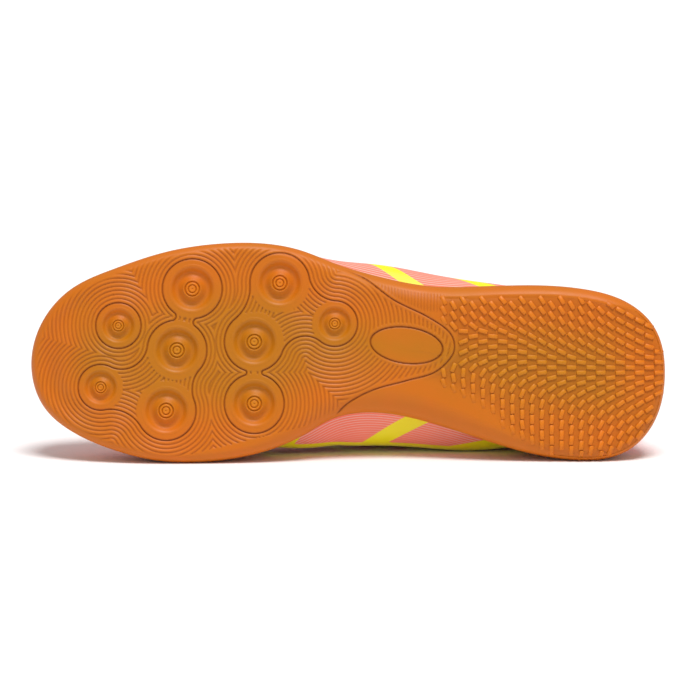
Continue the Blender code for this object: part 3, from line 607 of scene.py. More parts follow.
EDGE_SAMPLES = np.arange(4000) / 4000
EDGE_PLAN = OUTLINE(EDGE_SAMPLES)
EDGE_INWARDS = inwards(EDGE_SAMPLES)
EDGE_STOPS = EDGE(EDGE_SAMPLES)[:, 0] * EDGE_ROUND
EDGE_RISES = widest_height(EDGE_SAMPLES) - bottom_height(EDGE_PLAN[:, 0])


def tread_places(plan):
    """For points in plan: their distance inside the outline, and the number of the nearest edge sample."""
    inset, number = nearest(plan, EDGE_PLAN)
    out = ((plan - EDGE_PLAN[number]) * EDGE_INWARDS[number]).sum(1) < 0
    return np.where(out, -inset, inset), number


def edge_sine(inset, number):
    """How far round the rounded edge a point is, as a sine: 0 on the flat tread, 1 on the widest line."""
    return np.clip(1.0 - inset / EDGE_STOPS[number], 0.0, 1.0)


def tread_height(plan, inset, number):
    """The height of the tread without its relief, with its rounded edge."""
    stop = EDGE_STOPS[number]
    share = 1.0 - smooth_step(inset, stop, 3.0 * stop)
    flat = bottom_height(plan[:, 0] + (EDGE_PLAN[number, 0] - plan[:, 0]) * share)
    return flat + EDGE_RISES[number] * (1.0 - np.sqrt(1.0 - edge_sine(inset, number) ** 2))


def grid_in_sole(x_start, x_end, step):
    """A grid of quads over the tread between two x, its rim drawn to a line just inside the outline."""
    xs = np.arange(x_start, x_end + step / 2, step)
    ys = np.arange(EDGE_PLAN[:, 1].min() - step, EDGE_PLAN[:, 1].max() + step, step)
    plan = np.stack(np.meshgrid(xs, ys, indexing="ij"), -1).reshape(-1, 2)
    inset, number = tread_places(plan)
    index = np.arange(len(plan)).reshape(len(xs), len(ys))
    quads = np.stack([index[:-1, :-1], index[:-1, 1:], index[1:, 1:], index[1:, :-1]], -1).reshape(-1, 4)
    quads = quads[(inset[quads] > TREAD_STOP - step / 2).all(1)]
    used = np.unique(quads)
    counts = np.bincount(quads.ravel(), minlength=len(plan))[used]
    place = np.full(len(plan), -1)
    place[used] = np.arange(len(used))
    plan, inset, number = plan[used], inset[used], number[used]
    rim_point = (counts < 4) & (inset < TREAD_STOP + 1.2 * step)
    moved = EDGE_PLAN[number] + EDGE_INWARDS[number] * TREAD_STOP
    plan[rim_point] = moved[rim_point]
    inset[rim_point] = TREAD_STOP
    return plan, inset, number, place[quads]


def groove_profile(distance, width):
    """1 in the middle of a groove, 0 outside it, with rounded sides."""
    return 0.5 + 0.5 * np.cos(np.pi * np.clip(2.0 * np.abs(distance) / width, 0.0, 1.0))


GROUP_OUTLINES = np.vstack([group_outline(group, 0.00015) for group in POD_GROUPS])

# The groove's line, and the same line closed round the toe, well outside the sole
groove_points = np.array(SHANK_GROOVE) * (LENGTH, BALL_WIDTH)
GROOVE_LINE = smooth_path(groove_points, 0.0003)
FOREFOOT_LOOP = np.vstack([smooth_path(groove_points, 0.002), [(0.0, 0.06), (-0.1, 0.0), (0.0, -0.08)]])

# The smooth waist's edge, and the same line closed outside the sole's medial side
smooth_edge = (np.array(SMOOTH_EDGE_PX) - TOE_TIP_PX) * metres_per_px
SMOOTH_LINE = smooth_path(smooth_edge, 0.0005)
SMOOTH_LOOP = np.vstack([smooth_edge, [(0.20, 0.08), (0.12, 0.05)]])

along, across, long, wide = SHANK_OVAL
turns = np.arange(0.0, 2 * math.pi, 0.01)
upright_oval = np.column_stack([long * LENGTH * np.cos(turns), wide * BALL_WIDTH * np.sin(turns)]) / 2
cosine, sine = math.cos(SHANK_OVAL_TURN), math.sin(SHANK_OVAL_TURN)
OVAL_LINE = upright_oval @ np.array([[cosine, sine], [-sine, cosine]]) + (along * LENGTH, across * BALL_WIDTH)


def block_relief(plan, inset):
    """1 where blocks stand full height, 0 on the smooth waist, the plain edge and next to the groove."""
    from_smooth, _ = nearest(plan, SMOOTH_LINE)
    from_line, _ = nearest(plan, GROOVE_LINE)
    x, lateral = plan[:, 0], plan[:, 1] < 0
    rear = ~inside(plan, FOREFOOT_LOOP) & ~inside(plan, SMOOTH_LOOP)
    start = np.where(lateral, smooth_step(x, *LATERAL_START), smooth_step(x, *MEDIAL_START))
    # The sole's long lateral curve is plain, up to where it turns round the heel
    plain = np.where(lateral, LATERAL_PLAIN * (1.0 - smooth_step(x, *PLAIN_END)), 0.0)
    edge = smooth_step(inset, plain + TREAD_STOP, plain + 2 * TREAD_STOP)
    return rear * start * edge * smooth_step(from_smooth, 0.0, 0.008) * smooth_step(from_line, 0.0004, 0.0025)


plan, inset, number, quads = grid_in_sole(0.0, FOREFOOT_END, GRID_STEP)
from_group, _ = nearest(plan, GROUP_OUTLINES)
from_groove, _ = nearest(plan, GROOVE_LINE)
from_oval, _ = nearest(plan, OVAL_LINE)
in_oval = inside(plan, OVAL_LINE)
in_forefoot = inside(plan, FOREFOOT_LOOP)
in_pod, in_pit = np.zeros((2, len(plan)), bool)
for centre, radius in zip(POD_CENTRES, POD_RADII):
    from_centre = np.hypot(*(plan - centre).T)
    in_pod |= from_centre < radius
    in_pit |= from_centre < PIT_SHARE * radius
rib_share = smooth_step(inset, *RIB_FADE) * in_forefoot * ~in_pod * ~in_oval
for away in (from_oval, from_groove):
    rib_share = rib_share * smooth_step(away, OVAL_MARGIN, 2 * OVAL_MARGIN)
to_rib = (from_group + RIB_PITCH / 2) % RIB_PITCH - RIB_PITCH / 2
rib = groove_profile(to_rib, RIB_WIDTH) * rib_share * (from_group > RIB_PITCH / 2)
to_line = np.minimum.reduce([from_group, from_oval, from_groove])
lines = groove_profile(to_line, OUTLINE_GROOVE_WIDTH) * smooth_step(inset, TREAD_STOP, 3 * TREAD_STOP)
relief = block_relief(plan, inset)
comb = smooth_step(inset, *COMB_FROM) * (1.0 - smooth_step(inset, *COMB_TO)) * (plan[:, 1] < 0)
comb *= ~in_forefoot * smooth_step(from_groove, 0.0008, 0.0020)
comb *= 1.0 - smooth_step(plan[:, 0], *LATERAL_START)
comb *= 0.5 + 0.5 * np.cos(2 * np.pi * plan[:, 0] / COMB_PITCH)
depth = np.maximum.reduce([RIB_DEPTH * rib, OUTLINE_GROOVE_DEPTH * lines, COMB_DEPTH * comb])
depth += OVAL_DEPTH * in_oval + BLOCK_HEIGHT * relief
# Painted shade in the ribs' grooves, the outlines, the comb and between the blocks, and painted highlight on
# the ribs' crests
tone = np.maximum.reduce([RIB_SHADE * rib, OUTLINE_SHADE * lines, RIB_SHADE * comb, BASE_SHADE * relief])
tone += CREST_HIGHLIGHT * rib_share * (1.0 - rib) * (1.0 - lines)
outsole_forefoot = add_piece(
    "outsole_forefoot",
    np.column_stack([plan, tread_height(plan, inset, number) + depth]),
    quads[~in_pit[quads].all(1)],
    GUM,
    attributes={"groove": tone, "ochre": ochre_share(inset)},
)
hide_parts("outsole")


def turns_of(count):
    """The angles of the points on a circle."""
    return np.arange(count) * 2 * math.pi / count


def repeated(faces, points_each, count):
    """The faces of several like meshes, one after another."""
    starts = points_each * np.arange(count)
    return (starts[:, None, None] + faces).reshape(-1, faces.shape[1])


# The profile is smoothed with its depths squeezed, so that its points lie evenly along the radius
squeeze = np.array((1.0, 0.05))
profile = smooth_path(np.array(POD_PROFILE) * squeeze, 0.004) / squeeze
profile = profile[np.argsort(profile[:, 0])]
shares = np.repeat(np.linspace(0.0, POD_PROFILE[-1][0], POD_RINGS)[1:], POD_TURNS)
turns = np.tile(turns_of(POD_TURNS), POD_RINGS - 1)
spokes = shares[:, None] * np.column_stack([np.cos(turns), np.sin(turns)])
plan = (POD_CENTRES[:, None] + POD_RADII[:, None, None] * spokes).reshape(-1, 2)
sunk = np.outer(POD_RADII / POD_RADIUS, np.interp(shares, *profile.T) / 1000)
sunk[:, -POD_TURNS:] += POD_TUCK
sunk[:, : -2 * POD_TURNS] -= 0.00002
pip = np.arange(0, POD_TURNS, 2)
pip_fan = np.stack([pip, pip + 1, (pip + 2) % POD_TURNS, np.zeros_like(pip)], -1)[1:-1]
pod_faces = np.vstack([band_faces(POD_RINGS - 1, POD_TURNS), pip_fan])
# Painted highlight on the pip, and painted shade in the grooves round it
pip_shading = PIP_HIGHLIGHT * (1.0 - smooth_step(shares, *PIP_EDGE))
for middle, width, tone in PIP_RINGS:
    pip_shading += tone * groove_profile(shares - middle, width)
inset, number = tread_places(plan)
outsole_pods = add_piece(
    "outsole_pods",
    np.column_stack([plan, tread_height(plan, inset, number) + sunk.ravel()]),
    repeated(pod_faces, len(shares), len(PODS)),
    GUM,
    attributes={"groove": np.tile(pip_shading, len(PODS)), "ochre": ochre_share(inset)},
)
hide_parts("outsole")


# The rear tread, moulded in one with the rest: small raised blocks stand in columns across the shoe, every
# other column half a step on. Each is turned to a fan that opens from a line along the heel's middle to
# both edges.
BASE_STEP = 0.0008
BASE_TUCK = 0.00002
BLOCK_LENGTH = 0.0043
BLOCK_WIDTH = 0.0019
BLOCK_CORNER = 0.0003
COLUMN_STEP = 0.00446
BLOCK_STEP = 0.00472
FIRST_BLOCK = (0.2288, 0.0025)
COLUMNS = 22
BLOCKS_FROM = 0.1600
BLOCK_EDGE_ROOM = 0.0018

# A block's three loops from its foot to its top: how far each shrinks, its depth below the top, and its
# painted shade at the foot or painted highlight on the top
BLOCK_LOOPS = (
    (-0.0001, 1.3 * BLOCK_HEIGHT, 0.45),
    (0.0, 0.00012, -0.10),
    (0.00012, 0.0, BLOCK_HIGHLIGHT),
)

# Blocks next to the rounded edge stand a little prouder
BLOCK_PROUD = 0.00035
PROUD_FADE = (0.002, 0.006)

# Each block's turn in degrees, from the toe-to-heel line towards the medial side: one line for each y in
# FAN_Y, one value for each x in FAN_X, both in mm
FAN_X = (172, 190, 215, 235, 250, 270, 290)
FAN_Y = (-40, -30, -20, -10, -5, 0, 5, 10, 15, 20, 30, 40)
FAN = (
    (85, 70, 62, 60, 62, 35, 25),
    (85, 65, 52, 58, 60, 25, 20),
    (88, 60, 42, 52, 62, 32, 20),
    (-60, -30, 5, 38, 45, 32, 12),
    (-50, -32, 0, 25, 30, 28, 5),
    (-60, -45, -12, 3, 8, 8, 0),
    (-110, -100, -40, -3, 0, -3, -3),
    (-120, -112, -62, -28, -15, -15, -15),
    (-120, -118, -80, -52, -33, -25, -25),
    (-120, -118, -92, -75, -52, -36, -33),
    (-118, -118, -112, -90, -75, -52, -45),
    (-118, -118, -118, -98, -85, -62, -50),
)


def fan_turn(plan):
    """The unit direction along a block at each point in plan."""
    x = np.clip(plan[:, 0] * 1000, FAN_X[0], FAN_X[-1])
    y = np.clip(plan[:, 1] * 1000, FAN_Y[0], FAN_Y[-1])
    i = np.clip(np.searchsorted(FAN_X, x) - 1, 0, len(FAN_X) - 2)
    j = np.clip(np.searchsorted(FAN_Y, y) - 1, 0, len(FAN_Y) - 2)
    u = (x - np.take(FAN_X, i)) / (np.take(FAN_X, i + 1) - np.take(FAN_X, i))
    v = (y - np.take(FAN_Y, j)) / (np.take(FAN_Y, j + 1) - np.take(FAN_Y, j))
    # A block has no front or back, so its doubled angle is what blends
    doubled = np.exp(2j * np.radians(FAN))
    near = doubled[j, i] * (1 - u) + doubled[j, i + 1] * u
    far = doubled[j + 1, i] * (1 - u) + doubled[j + 1, i + 1] * u
    turn = np.angle(near * (1 - v) + far * v) / 2
    return np.column_stack([np.cos(turn), np.sin(turn)])


def block_places():
    """Centres of the blocks in plan."""
    column, row = np.meshgrid(np.arange(-COLUMNS, COLUMNS), np.arange(-COLUMNS, COLUMNS))
    x = FIRST_BLOCK[0] + column.ravel() * COLUMN_STEP
    y = FIRST_BLOCK[1] + (row.ravel() + 0.5 * (column.ravel() % 2)) * BLOCK_STEP
    plan = np.column_stack([x, y])
    plan = plan[(x > BLOCKS_FROM) & (x < LENGTH)]
    inset, _ = tread_places(plan)
    from_line, _ = nearest(plan, GROOVE_LINE)
    clear = (from_line > BLOCK_LENGTH / 2) & (inset > BLOCK_EDGE_ROOM)
    return plan[clear & (block_relief(plan, inset) > 0.1)]


def on_tread(plan, lift):
    """Points at a height off the tread's surface, measured outwards along its normal."""
    step = 0.0002
    least = 0.0003
    inset, number = tread_places(plan)
    plan = np.where((inset < least)[:, None], EDGE_PLAN[number] + EDGE_INWARDS[number] * least, plan)
    inset = np.maximum(inset, least)
    sine = edge_sine(inset, number)
    slope = EDGE_RISES[number] / EDGE_STOPS[number] * sine / np.sqrt(np.maximum(1.0 - sine**2, 0.01))
    along = (bottom_height(plan[:, 0] + step) - bottom_height(plan[:, 0] - step)) / (2 * step)
    tilt = -EDGE_INWARDS[number] * slope[:, None]
    normal = np.column_stack([tilt[:, 0] + along, tilt[:, 1], -np.ones(len(plan))])
    normal /= np.linalg.norm(normal, axis=1)[:, None]
    return np.column_stack([plan, tread_height(plan, inset, number)]) + normal * lift[:, None]


plan, inset, number, quads = grid_in_sole(FOREFOOT_END - 2 * GRID_STEP, LENGTH, BASE_STEP)
relief = block_relief(plan, inset)
sunk = BLOCK_HEIGHT * relief + BASE_TUCK * (plan[:, 0] < FOREFOOT_END - GRID_STEP)
# The base between the blocks carries painted shade, through the groove attribute
outsole_rear = add_piece(
    "outsole_rear",
    np.column_stack([plan, tread_height(plan, inset, number) + sunk]),
    quads,
    GUM,
    attributes={"groove": BASE_SHADE * relief, "ochre": ochre_share(inset)},
)
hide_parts("outsole")

corners, levels, tones = [], [], []
for shrink, down, tone in BLOCK_LOOPS:
    long, wide, corner = BLOCK_LENGTH / 2 - shrink, BLOCK_WIDTH / 2 - shrink, BLOCK_CORNER - shrink
    half = [(long, wide - corner), (long - corner, wide), (corner - long, wide), (-long, wide - corner)]
    corners += half + [(-a, -b) for a, b in half]
    levels += [-down] * 8
    tones += [tone] * 8
corners = np.array(corners)
blocks = block_places()
inset, _ = tread_places(blocks)
ahead = fan_turn(blocks)[:, None]
sideways = ahead[..., ::-1] * (-1.0, 1.0)
plan = (blocks[:, None] + ahead * corners[:, :1] + sideways * corners[:, 1:]).reshape(-1, 2)
proud = BLOCK_PROUD * (1.0 - smooth_step(inset, *PROUD_FADE))
# Painted shade round each block's foot and painted highlight on its top, through the groove attribute
outsole_blocks = add_piece(
    "outsole_blocks",
    on_tread(plan, np.add.outer(proud, levels).ravel()),
    [
        *repeated(band_faces(3, 8), len(corners), len(blocks)),
        *repeated(np.arange(16, 24)[None], len(corners), len(blocks)),
    ],
    GUM,
    smooth=False,
    attributes={
        "groove": np.outer(block_relief(blocks, inset), tones).ravel(),
        "ochre": ochre_share(tread_places(plan)[0]),
    },
)
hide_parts("outsole")


# The upper: one shell of thin coated textile over a soft lining, lasted and cemented into the sole's cup.
# Fine pale lines are printed round it, and welded yellow film makes a net of slanted bands over them.
UPPER_STATIONS = 720
LOW_ROWS = 15
HIGH_ROWS = 56
WALL = 0.0020
FIT_GAP = 0.0003
WAIST_OVERHANG = 0.0150
WIDEST_RISE = 0.0120
COLLAR_HEIGHT = 0.0740
COLLAR_PAD = 0.0040
COLLAR_SWELL = 0.0009
COLLAR_SEAM = 0.0165
SEAM_WIDTH = 0.0014
SWELL_MIDDLE = 0.0075
SWELL_WIDTH = 0.0042
EYESTAY_WIDTH = 0.0130
EYESTAY_STEP = 0.0008
THROAT_CORNER = 0.020
THROAT_TOP = 0.262
COUNTER_HEIGHT = 0.0300
COUNTER_REACH = 0.135
COUNTER_STEP = 0.0004
LINE_PITCH_MM = 1.15

# The upper above the cup: the way round, the widest line's overhang as a share of WAIST_OVERHANG and its
# height over the rim as a share of WIDEST_RISE, then the opening's edge as shares of LENGTH, BALL_WIDTH and
# COLLAR_HEIGHT, and how far the wall leans inwards there, in degrees
UPPER_SECTIONS = (
    (0.000, -0.24, 0.30, 0.334, -0.020, 0.755, 66.0),
    (0.056, -0.22, 0.35, 0.340, 0.038, 0.764, 68.0),
    (0.100, -0.18, 0.40, 0.351, 0.062, 0.780, 70.0),
    (0.146, -0.24, 0.50, 0.373, 0.082, 0.815, 71.0),
    (0.190, -0.10, 0.70, 0.418, 0.108, 0.890, 70.0),
    (0.238, 0.88, 1.00, 0.482, 0.146, 1.010, 66.0),
    (0.267, 1.04, 1.10, 0.545, 0.188, 1.105, 58.0),
    (0.306, 0.83, 1.05, 0.634, 0.280, 0.965, 32.0),
    (0.342, 0.40, 0.95, 0.710, 0.352, 0.815, 16.0),
    (0.372, -0.13, 0.90, 0.773, 0.378, 0.772, 12.0),
    (0.420, -0.38, 0.80, 0.868, 0.325, 0.850, 11.0),
    (0.460, -0.42, 0.75, 0.930, 0.225, 0.950, 10.0),
    (0.500, -0.42, 0.75, 0.960, 0.055, 1.000, 8.0),
    (0.540, -0.42, 0.75, 0.931, -0.105, 0.955, 10.0),
    (0.587, -0.34, 0.80, 0.866, -0.215, 0.850, 12.0),
    (0.630, -0.05, 0.90, 0.782, -0.258, 0.765, 14.0),
    (0.665, 0.22, 1.00, 0.706, -0.245, 0.815, 20.0),
    (0.700, 0.43, 1.00, 0.632, -0.198, 0.965, 36.0),
    (0.735, 0.34, 0.85, 0.545, -0.140, 1.100, 58.0),
    (0.765, 0.06, 0.70, 0.480, -0.128, 1.005, 66.0),
    (0.800, -0.12, 0.55, 0.418, -0.118, 0.888, 70.0),
    (0.845, -0.17, 0.50, 0.373, -0.106, 0.815, 71.0),
    (0.900, -0.18, 0.40, 0.351, -0.088, 0.780, 70.0),
    (0.950, -0.22, 0.35, 0.340, -0.064, 0.764, 68.0),
)

# The yellow film on each side, 1 for medial and -1 for lateral: lines of points as x and height over the
# sole's rim, then the width, all in mm. Each side's first bands lean forwards out of the sole, and the rest
# cross them.
BANDS = (
    (1, ((132, -6), (96, 22)), 6.0),
    (1, ((190, -6), (153, 22), (112, 66)), 6.6),
    (1, ((237, -6), (183, 21), (150, 68)), 5.6),
    (1, ((268, -6), (236, 22), (196, 72)), 5.6),
    (1, ((96, 22), (138, 72)), 5.6),
    (1, ((153, 22), (182, 72)), 5.6),
    (1, ((183, 21), (226, 72)), 5.6),
    (-1, ((128, -6), (90, 20)), 6.0),
    (-1, ((194, -6), (147, 20), (106, 64)), 6.0),
    (-1, ((233, -6), (188, 20), (150, 66)), 5.2),
    (-1, ((262, -6), (232, 20), (194, 70)), 5.6),
    (-1, ((90, 20), (132, 70)), 5.6),
    (-1, ((147, 20), (180, 70)), 5.6),
    (-1, ((188, 20), (228, 70)), 5.6),
)

# A strip of the film joins the bands along each side's widest line: side, x from and to, height from and
# to, over that line
STRIPS = ((1, 106, 250, -5.5, 2.5), (-1, 106, 250, 1.0, 5.0))

# How far the wall's curves keep the direction that they leave or arrive in, as shares of their reach: from
# the rim out to the widest line, then up from there to the opening's edge, less over the toe
RIM_LEAN = 0.35
LEAVE_RIM = 0.35
ARRIVE_WIDEST = 0.40
LEAVE_WIDEST = 0.42
ARRIVE_EDGE = 0.42
TOE_FLATTENS = 0.29
TOE_REACH = (0.04, 0.20)

# The distance to the film, in mm, where there is none
NO_FILM = 50.0

# Soft flex creases over the toe box: x where each crosses the middle, its reach round each side, its depth
CREASES = ((0.074, 0.155, 0.00055), (0.083, 0.175, 0.00070), (0.092, 0.150, 0.00045))
CREASE_WIDTH = 0.0022
CREASE_BOW = 0.040
CREASE_WAVER = 0.0012
CREASE_TOP_MM = (16.0, 30.0)

# How far round from the toe's tip the throat ends and the collar's swell and its padding begin, and the
# share of the way up the wall over which the padding fills out
THROAT_END = (0.255, 0.285)
COLLAR_START = (0.285, 0.330)
PAD_START = (0.280, 0.335)
PAD_ROWS = (0.62, 0.94)

# The opening's rolled edge: how far it bulges, as a share of its thickness, and the shell's rows in it
ROLL_BULGE = 0.35
ROLL_ROWS = 6

SECTIONS = closed_spline(UPPER_SECTIONS)
MEDIAL_EDGE = np.linspace(THROAT_CORNER, THROAT_TOP, 400)
LATERAL_EDGE = 1.0 - MEDIAL_EDGE
THROAT_FRONT = UPPER_SECTIONS[0][3] * LENGTH
THROAT_BACK = min(SECTIONS(side[-1])[0, 2] for side in (MEDIAL_EDGE, LATERAL_EDGE)) * LENGTH


def bezier(start, near_start, near_end, end, shares):
    t = np.asarray(shares)[:, None, None]
    early = 1 - t
    return early**3 * start + 3 * early**2 * t * near_start + 3 * early * t * t * near_end + t**3 * end


def unit(vectors):
    return vectors / np.linalg.norm(vectors, axis=-1)[..., None]


def opening_inwards(around):
    """The unit direction in plan from the opening's edge into the opening."""
    step = 1e-3
    after, before = SECTIONS(np.asarray(around) + step), SECTIONS(np.asarray(around) - step)
    along = unit((after - before)[:, 2:4] * (LENGTH, BALL_WIDTH))
    return np.column_stack([along[:, 1], -along[:, 0]])


def from_toe(around):
    """How far round a place is from the toe's tip: 0 at the tip, 0.5 at the heel."""
    return np.abs((np.asarray(around) + 0.5) % 1.0 - 0.5)


def upper_points(around, low_shares, high_shares):
    """The upper's outer face: rings from its lower edge in the cup to the opening's edge."""
    out, rise, along, across, height, lean = SECTIONS(around).T
    rim = rim_height(around)
    wall_foot = cup_foot(around) + FIT_GAP
    bed = bed_height(OUTLINE(around)[:, 0]) + FIT_GAP
    foot = ring(around, wall_foot + CUP_CORNER, lambda x: bed_height(x) + FIT_GAP)
    corner = ring(around, wall_foot, bed + CUP_CORNER)
    at_rim = ring(around, cup_inset(around) + CUP_WALL + FIT_GAP, rim + 2 * FIT_GAP)
    widest = ring(around, -out * WAIST_OVERHANG, rim + rise * WIDEST_RISE)
    edge = np.column_stack([along * LENGTH, across * BALL_WIDTH, height * COLLAR_HEIGHT])
    up = np.array([0.0, 0.0, 1.0])
    low_reach = np.linalg.norm(widest - at_rim, axis=1)[:, None]
    leaving = (widest - at_rim) / low_reach
    leaving = leaving + RIM_LEAN * (leaving - up * leaving[:, 2:])
    near_rim = at_rim + LEAVE_RIM * low_reach * leaving
    low = bezier(at_rim, near_rim, widest - ARRIVE_WIDEST * low_reach * up, widest, low_shares)
    reach = np.linalg.norm(edge - widest, axis=1)[:, None]
    lean = np.radians(lean)[:, None]
    into = np.column_stack([opening_inwards(around), np.zeros(len(around))])
    arriving = into * np.sin(lean) + up * np.cos(lean)
    flat = np.clip(lean / math.radians(66.0), 0.0, 1.0)
    toe_share = 1.0 - smooth_step(from_toe(around), *TOE_REACH)
    rise_reach = (LEAVE_WIDEST - TOE_FLATTENS * toe_share[:, None] * flat) * reach
    high = bezier(widest, widest + rise_reach * up, edge - ARRIVE_EDGE * reach * arriving, edge, high_shares)
    return np.concatenate([[foot, corner], low[:-1], high])


def face_normals(grid):
    """Outward unit normals of a grid of rings that closes round the shoe."""
    round_shoe = np.roll(grid, -1, 1) - np.roll(grid, 1, 1)
    return unit(np.cross(np.gradient(grid, axis=0), round_shoe))


def trough(distance, width):
    """A soft trough's cross-section: 1 in its middle, with low ridges beside it."""
    ridges = np.exp(-(((np.abs(distance) - 2.1 * width) / width) ** 2))
    return np.exp(-((distance / width) ** 2)) - 0.35 * ridges


def coated_textile():
    """Thin knit with a matt coating: fine pale lines are printed on it, and the bands are a smooth film with
    a little gloss. Under it a fine weave shows as grain."""
    material = new_material("coated_coral_textile")
    place = node(material, "TexCoord").outputs["Object"]
    height = node(material, "Attribute", attribute_name="print_height").outputs["Fac"]
    band = node(material, "Attribute", attribute_name="band").outputs["Fac"]
    panel = node(material, "Attribute", attribute_name="panel").outputs["Fac"]
    # Patches of about 33 mm where the coating lies thicker or thinner
    clouds = node(material, "TexNoise", {"Vector": place, "Scale": 30.0, "Detail": 3.0}).outputs["Fac"]
    body = node(material, "Mix", {0: clouds, 6: linear("#FC735B"), 7: linear("#FF8D76")}, data_type="RGBA")
    waver = node(material, "Math", {0: clouds, 1: 0.5, 2: height}, operation="MULTIPLY_ADD")
    turns = node(material, "Math", {0: waver.outputs[0], 1: LINE_PITCH_MM}, operation="DIVIDE")
    share = node(material, "Math", {0: turns.outputs[0]}, operation="FRACT")
    middle = node(material, "Math", {0: share.outputs[0], 1: 0.5}, operation="SUBTRACT")
    from_line = node(material, "Math", {0: middle.outputs[0]}, operation="ABSOLUTE").outputs[0]
    fading = {"Value": height, "From Min": 5.0, "From Max": 16.0, "To Min": 0.62, "To Max": 0.16}
    fade = node(material, "MapRange", fading).outputs[0]
    crossing = {"Value": from_line, "From Min": 0.10, "From Max": 0.24, "To Min": fade, "To Max": 0.0}
    line = node(material, "MapRange", crossing).outputs[0]
    plain = node(material, "Math", {0: 1.0, 1: panel}, operation="SUBTRACT", use_clamp=True).outputs[0]
    printed = node(material, "Math", {0: line, 1: plain}, operation="MULTIPLY").outputs[0]
    with_lines = {0: printed, 6: body.outputs[2], 7: linear("#FFE0D4")}
    lined = node(material, "Mix", with_lines, data_type="RGBA").outputs[2]
    panelled = node(material, "Mix", {0: panel, 6: lined, 7: linear("#E4604E")}, data_type="RGBA").outputs[2]
    film_edge = {"Value": band, "From Min": -0.12, "From Max": 0.12, "To Min": 1.0, "To Max": 0.0}
    film = node(material, "MapRange", film_edge).outputs[0]
    colour = node(material, "Mix", {0: film, 6: panelled, 7: linear("#F8F006")}, data_type="RGBA")
    # Knit of about 0.5 mm, drawn at 0.9 mm so that it shows
    weave = node(material, "TexVoronoi", {"Vector": place, "Scale": 1100.0}).outputs["Distance"]
    bare = node(material, "Math", {0: 1.0, 1: film}, operation="SUBTRACT").outputs[0]
    knit = node(material, "Math", {0: weave, 1: bare}, operation="MULTIPLY").outputs[0]
    raised = node(material, "Math", {0: printed, 1: 0.8, 2: knit}, operation="MULTIPLY_ADD").outputs[0]
    bump = node(material, "Bump", {"Height": raised, "Strength": 0.22, "Distance": 0.0003})
    rough = node(material, "MapRange", {"Value": film, "To Min": 0.70, "To Max": 0.42})
    shader = node(
        material,
        "BsdfPrincipled",
        {
            "Base Color": colour.outputs[2],
            "Roughness": rough.outputs[0],
            "IOR": 1.46,
            "Sheen Weight": 0.15,
            "Sheen Roughness": 0.5,
            "Normal": bump.outputs[0],
        },
    )
    return finish_material(material, shader)


def brushed_lining():
    """Brushed nylon lining: dense short fibres, matt, with a soft sheen and a fine mesh under them."""
    material = new_material("brushed_nylon_lining")
    place = node(material, "TexCoord").outputs["Object"]
    # Fibres of a few hundredths of a millimetre, drawn as tufts of 1.1 mm so that they show
    fibre = node(material, "TexNoise", {"Vector": place, "Scale": 900.0, "Detail": 4.0}).outputs["Fac"]
    colour = node(material, "Mix", {0: fibre, 6: linear("#B8432F"), 7: linear("#DD6A57")}, data_type="RGBA")
    bump = node(material, "Bump", {"Height": fibre, "Strength": 0.35, "Distance": 0.0004})
    shader = node(
        material,
        "BsdfPrincipled",
        {
            "Base Color": colour.outputs[2],
            "Roughness": 0.92,
            "Sheen Weight": 0.12,
            "Normal": bump.outputs[0],
        },
    )
    return finish_material(material, shader)


def segment_distance(x, y, start, end):
    """The distance in a flat chart from points to a line from start to end."""
    run = np.subtract(end, start)
    share = ((x - start[0]) * run[0] + (y - start[1]) * run[1]) / (run @ run)
    share = np.clip(share, 0.0, 1.0)
    return np.hypot(x - start[0] - share * run[0], y - start[1] - share * run[1])


TEXTILE = coated_textile()
LINING = brushed_lining()

around = np.arange(UPPER_STATIONS) / UPPER_STATIONS
outer = upper_points(around, np.linspace(0.0, 1.0, LOW_ROWS), np.linspace(0.0, 1.0, HIGH_ROWS))
normals = face_normals(outer)
rows = len(outer)
steps = np.linalg.norm(np.diff(outer, axis=0), axis=2)
from_foot = np.concatenate([np.zeros((1, UPPER_STATIONS)), np.cumsum(steps, axis=0)])
over_rim = (from_foot - from_foot[2]) * 1000
to_edge = from_foot[-1] - from_foot
reach = np.linalg.norm(outer[-1] - outer, axis=2)
throat = 1.0 - smooth_step(from_toe(around), *THROAT_END)
eyestay = (1.0 - smooth_step(reach, 0.95 * EYESTAY_WIDTH, 1.02 * EYESTAY_WIDTH)) * throat
heel_way = np.abs(around - 0.5)
counter_top = COUNTER_HEIGHT * 1000 * (1.0 - (heel_way / COUNTER_REACH) ** 2)
counter = (1.0 - smooth_step(over_rim, counter_top - 0.6, counter_top + 0.6)) * (heel_way < COUNTER_REACH)
lift = EYESTAY_STEP * eyestay + COUNTER_STEP * counter
across = outer[:, :, 1] / BALL_WIDTH
for middle, turn, deep in CREASES:
    bow = CREASE_BOW * np.abs(across) ** 1.5
    line = middle + bow + CREASE_WAVER * np.sin(across * 9.0 + middle * 900)
    side = 1.0 - smooth_step(from_toe(around), 0.6 * turn, turn)
    top = smooth_step(over_rim, *CREASE_TOP_MM)
    lift = lift - deep * side * top * trough(outer[:, :, 0] - line, CREASE_WIDTH)
# The collar's padding swells between its edge and the seam under it
collar = smooth_step(from_toe(around), *COLLAR_START)
swell = np.exp(-(((to_edge - SWELL_MIDDLE) / SWELL_WIDTH) ** 2))
swell -= 0.45 * np.exp(-(((to_edge - COLLAR_SEAM) / SEAM_WIDTH) ** 2))
face = outer + normals * (lift + COLLAR_SWELL * collar * swell)[:, :, None]

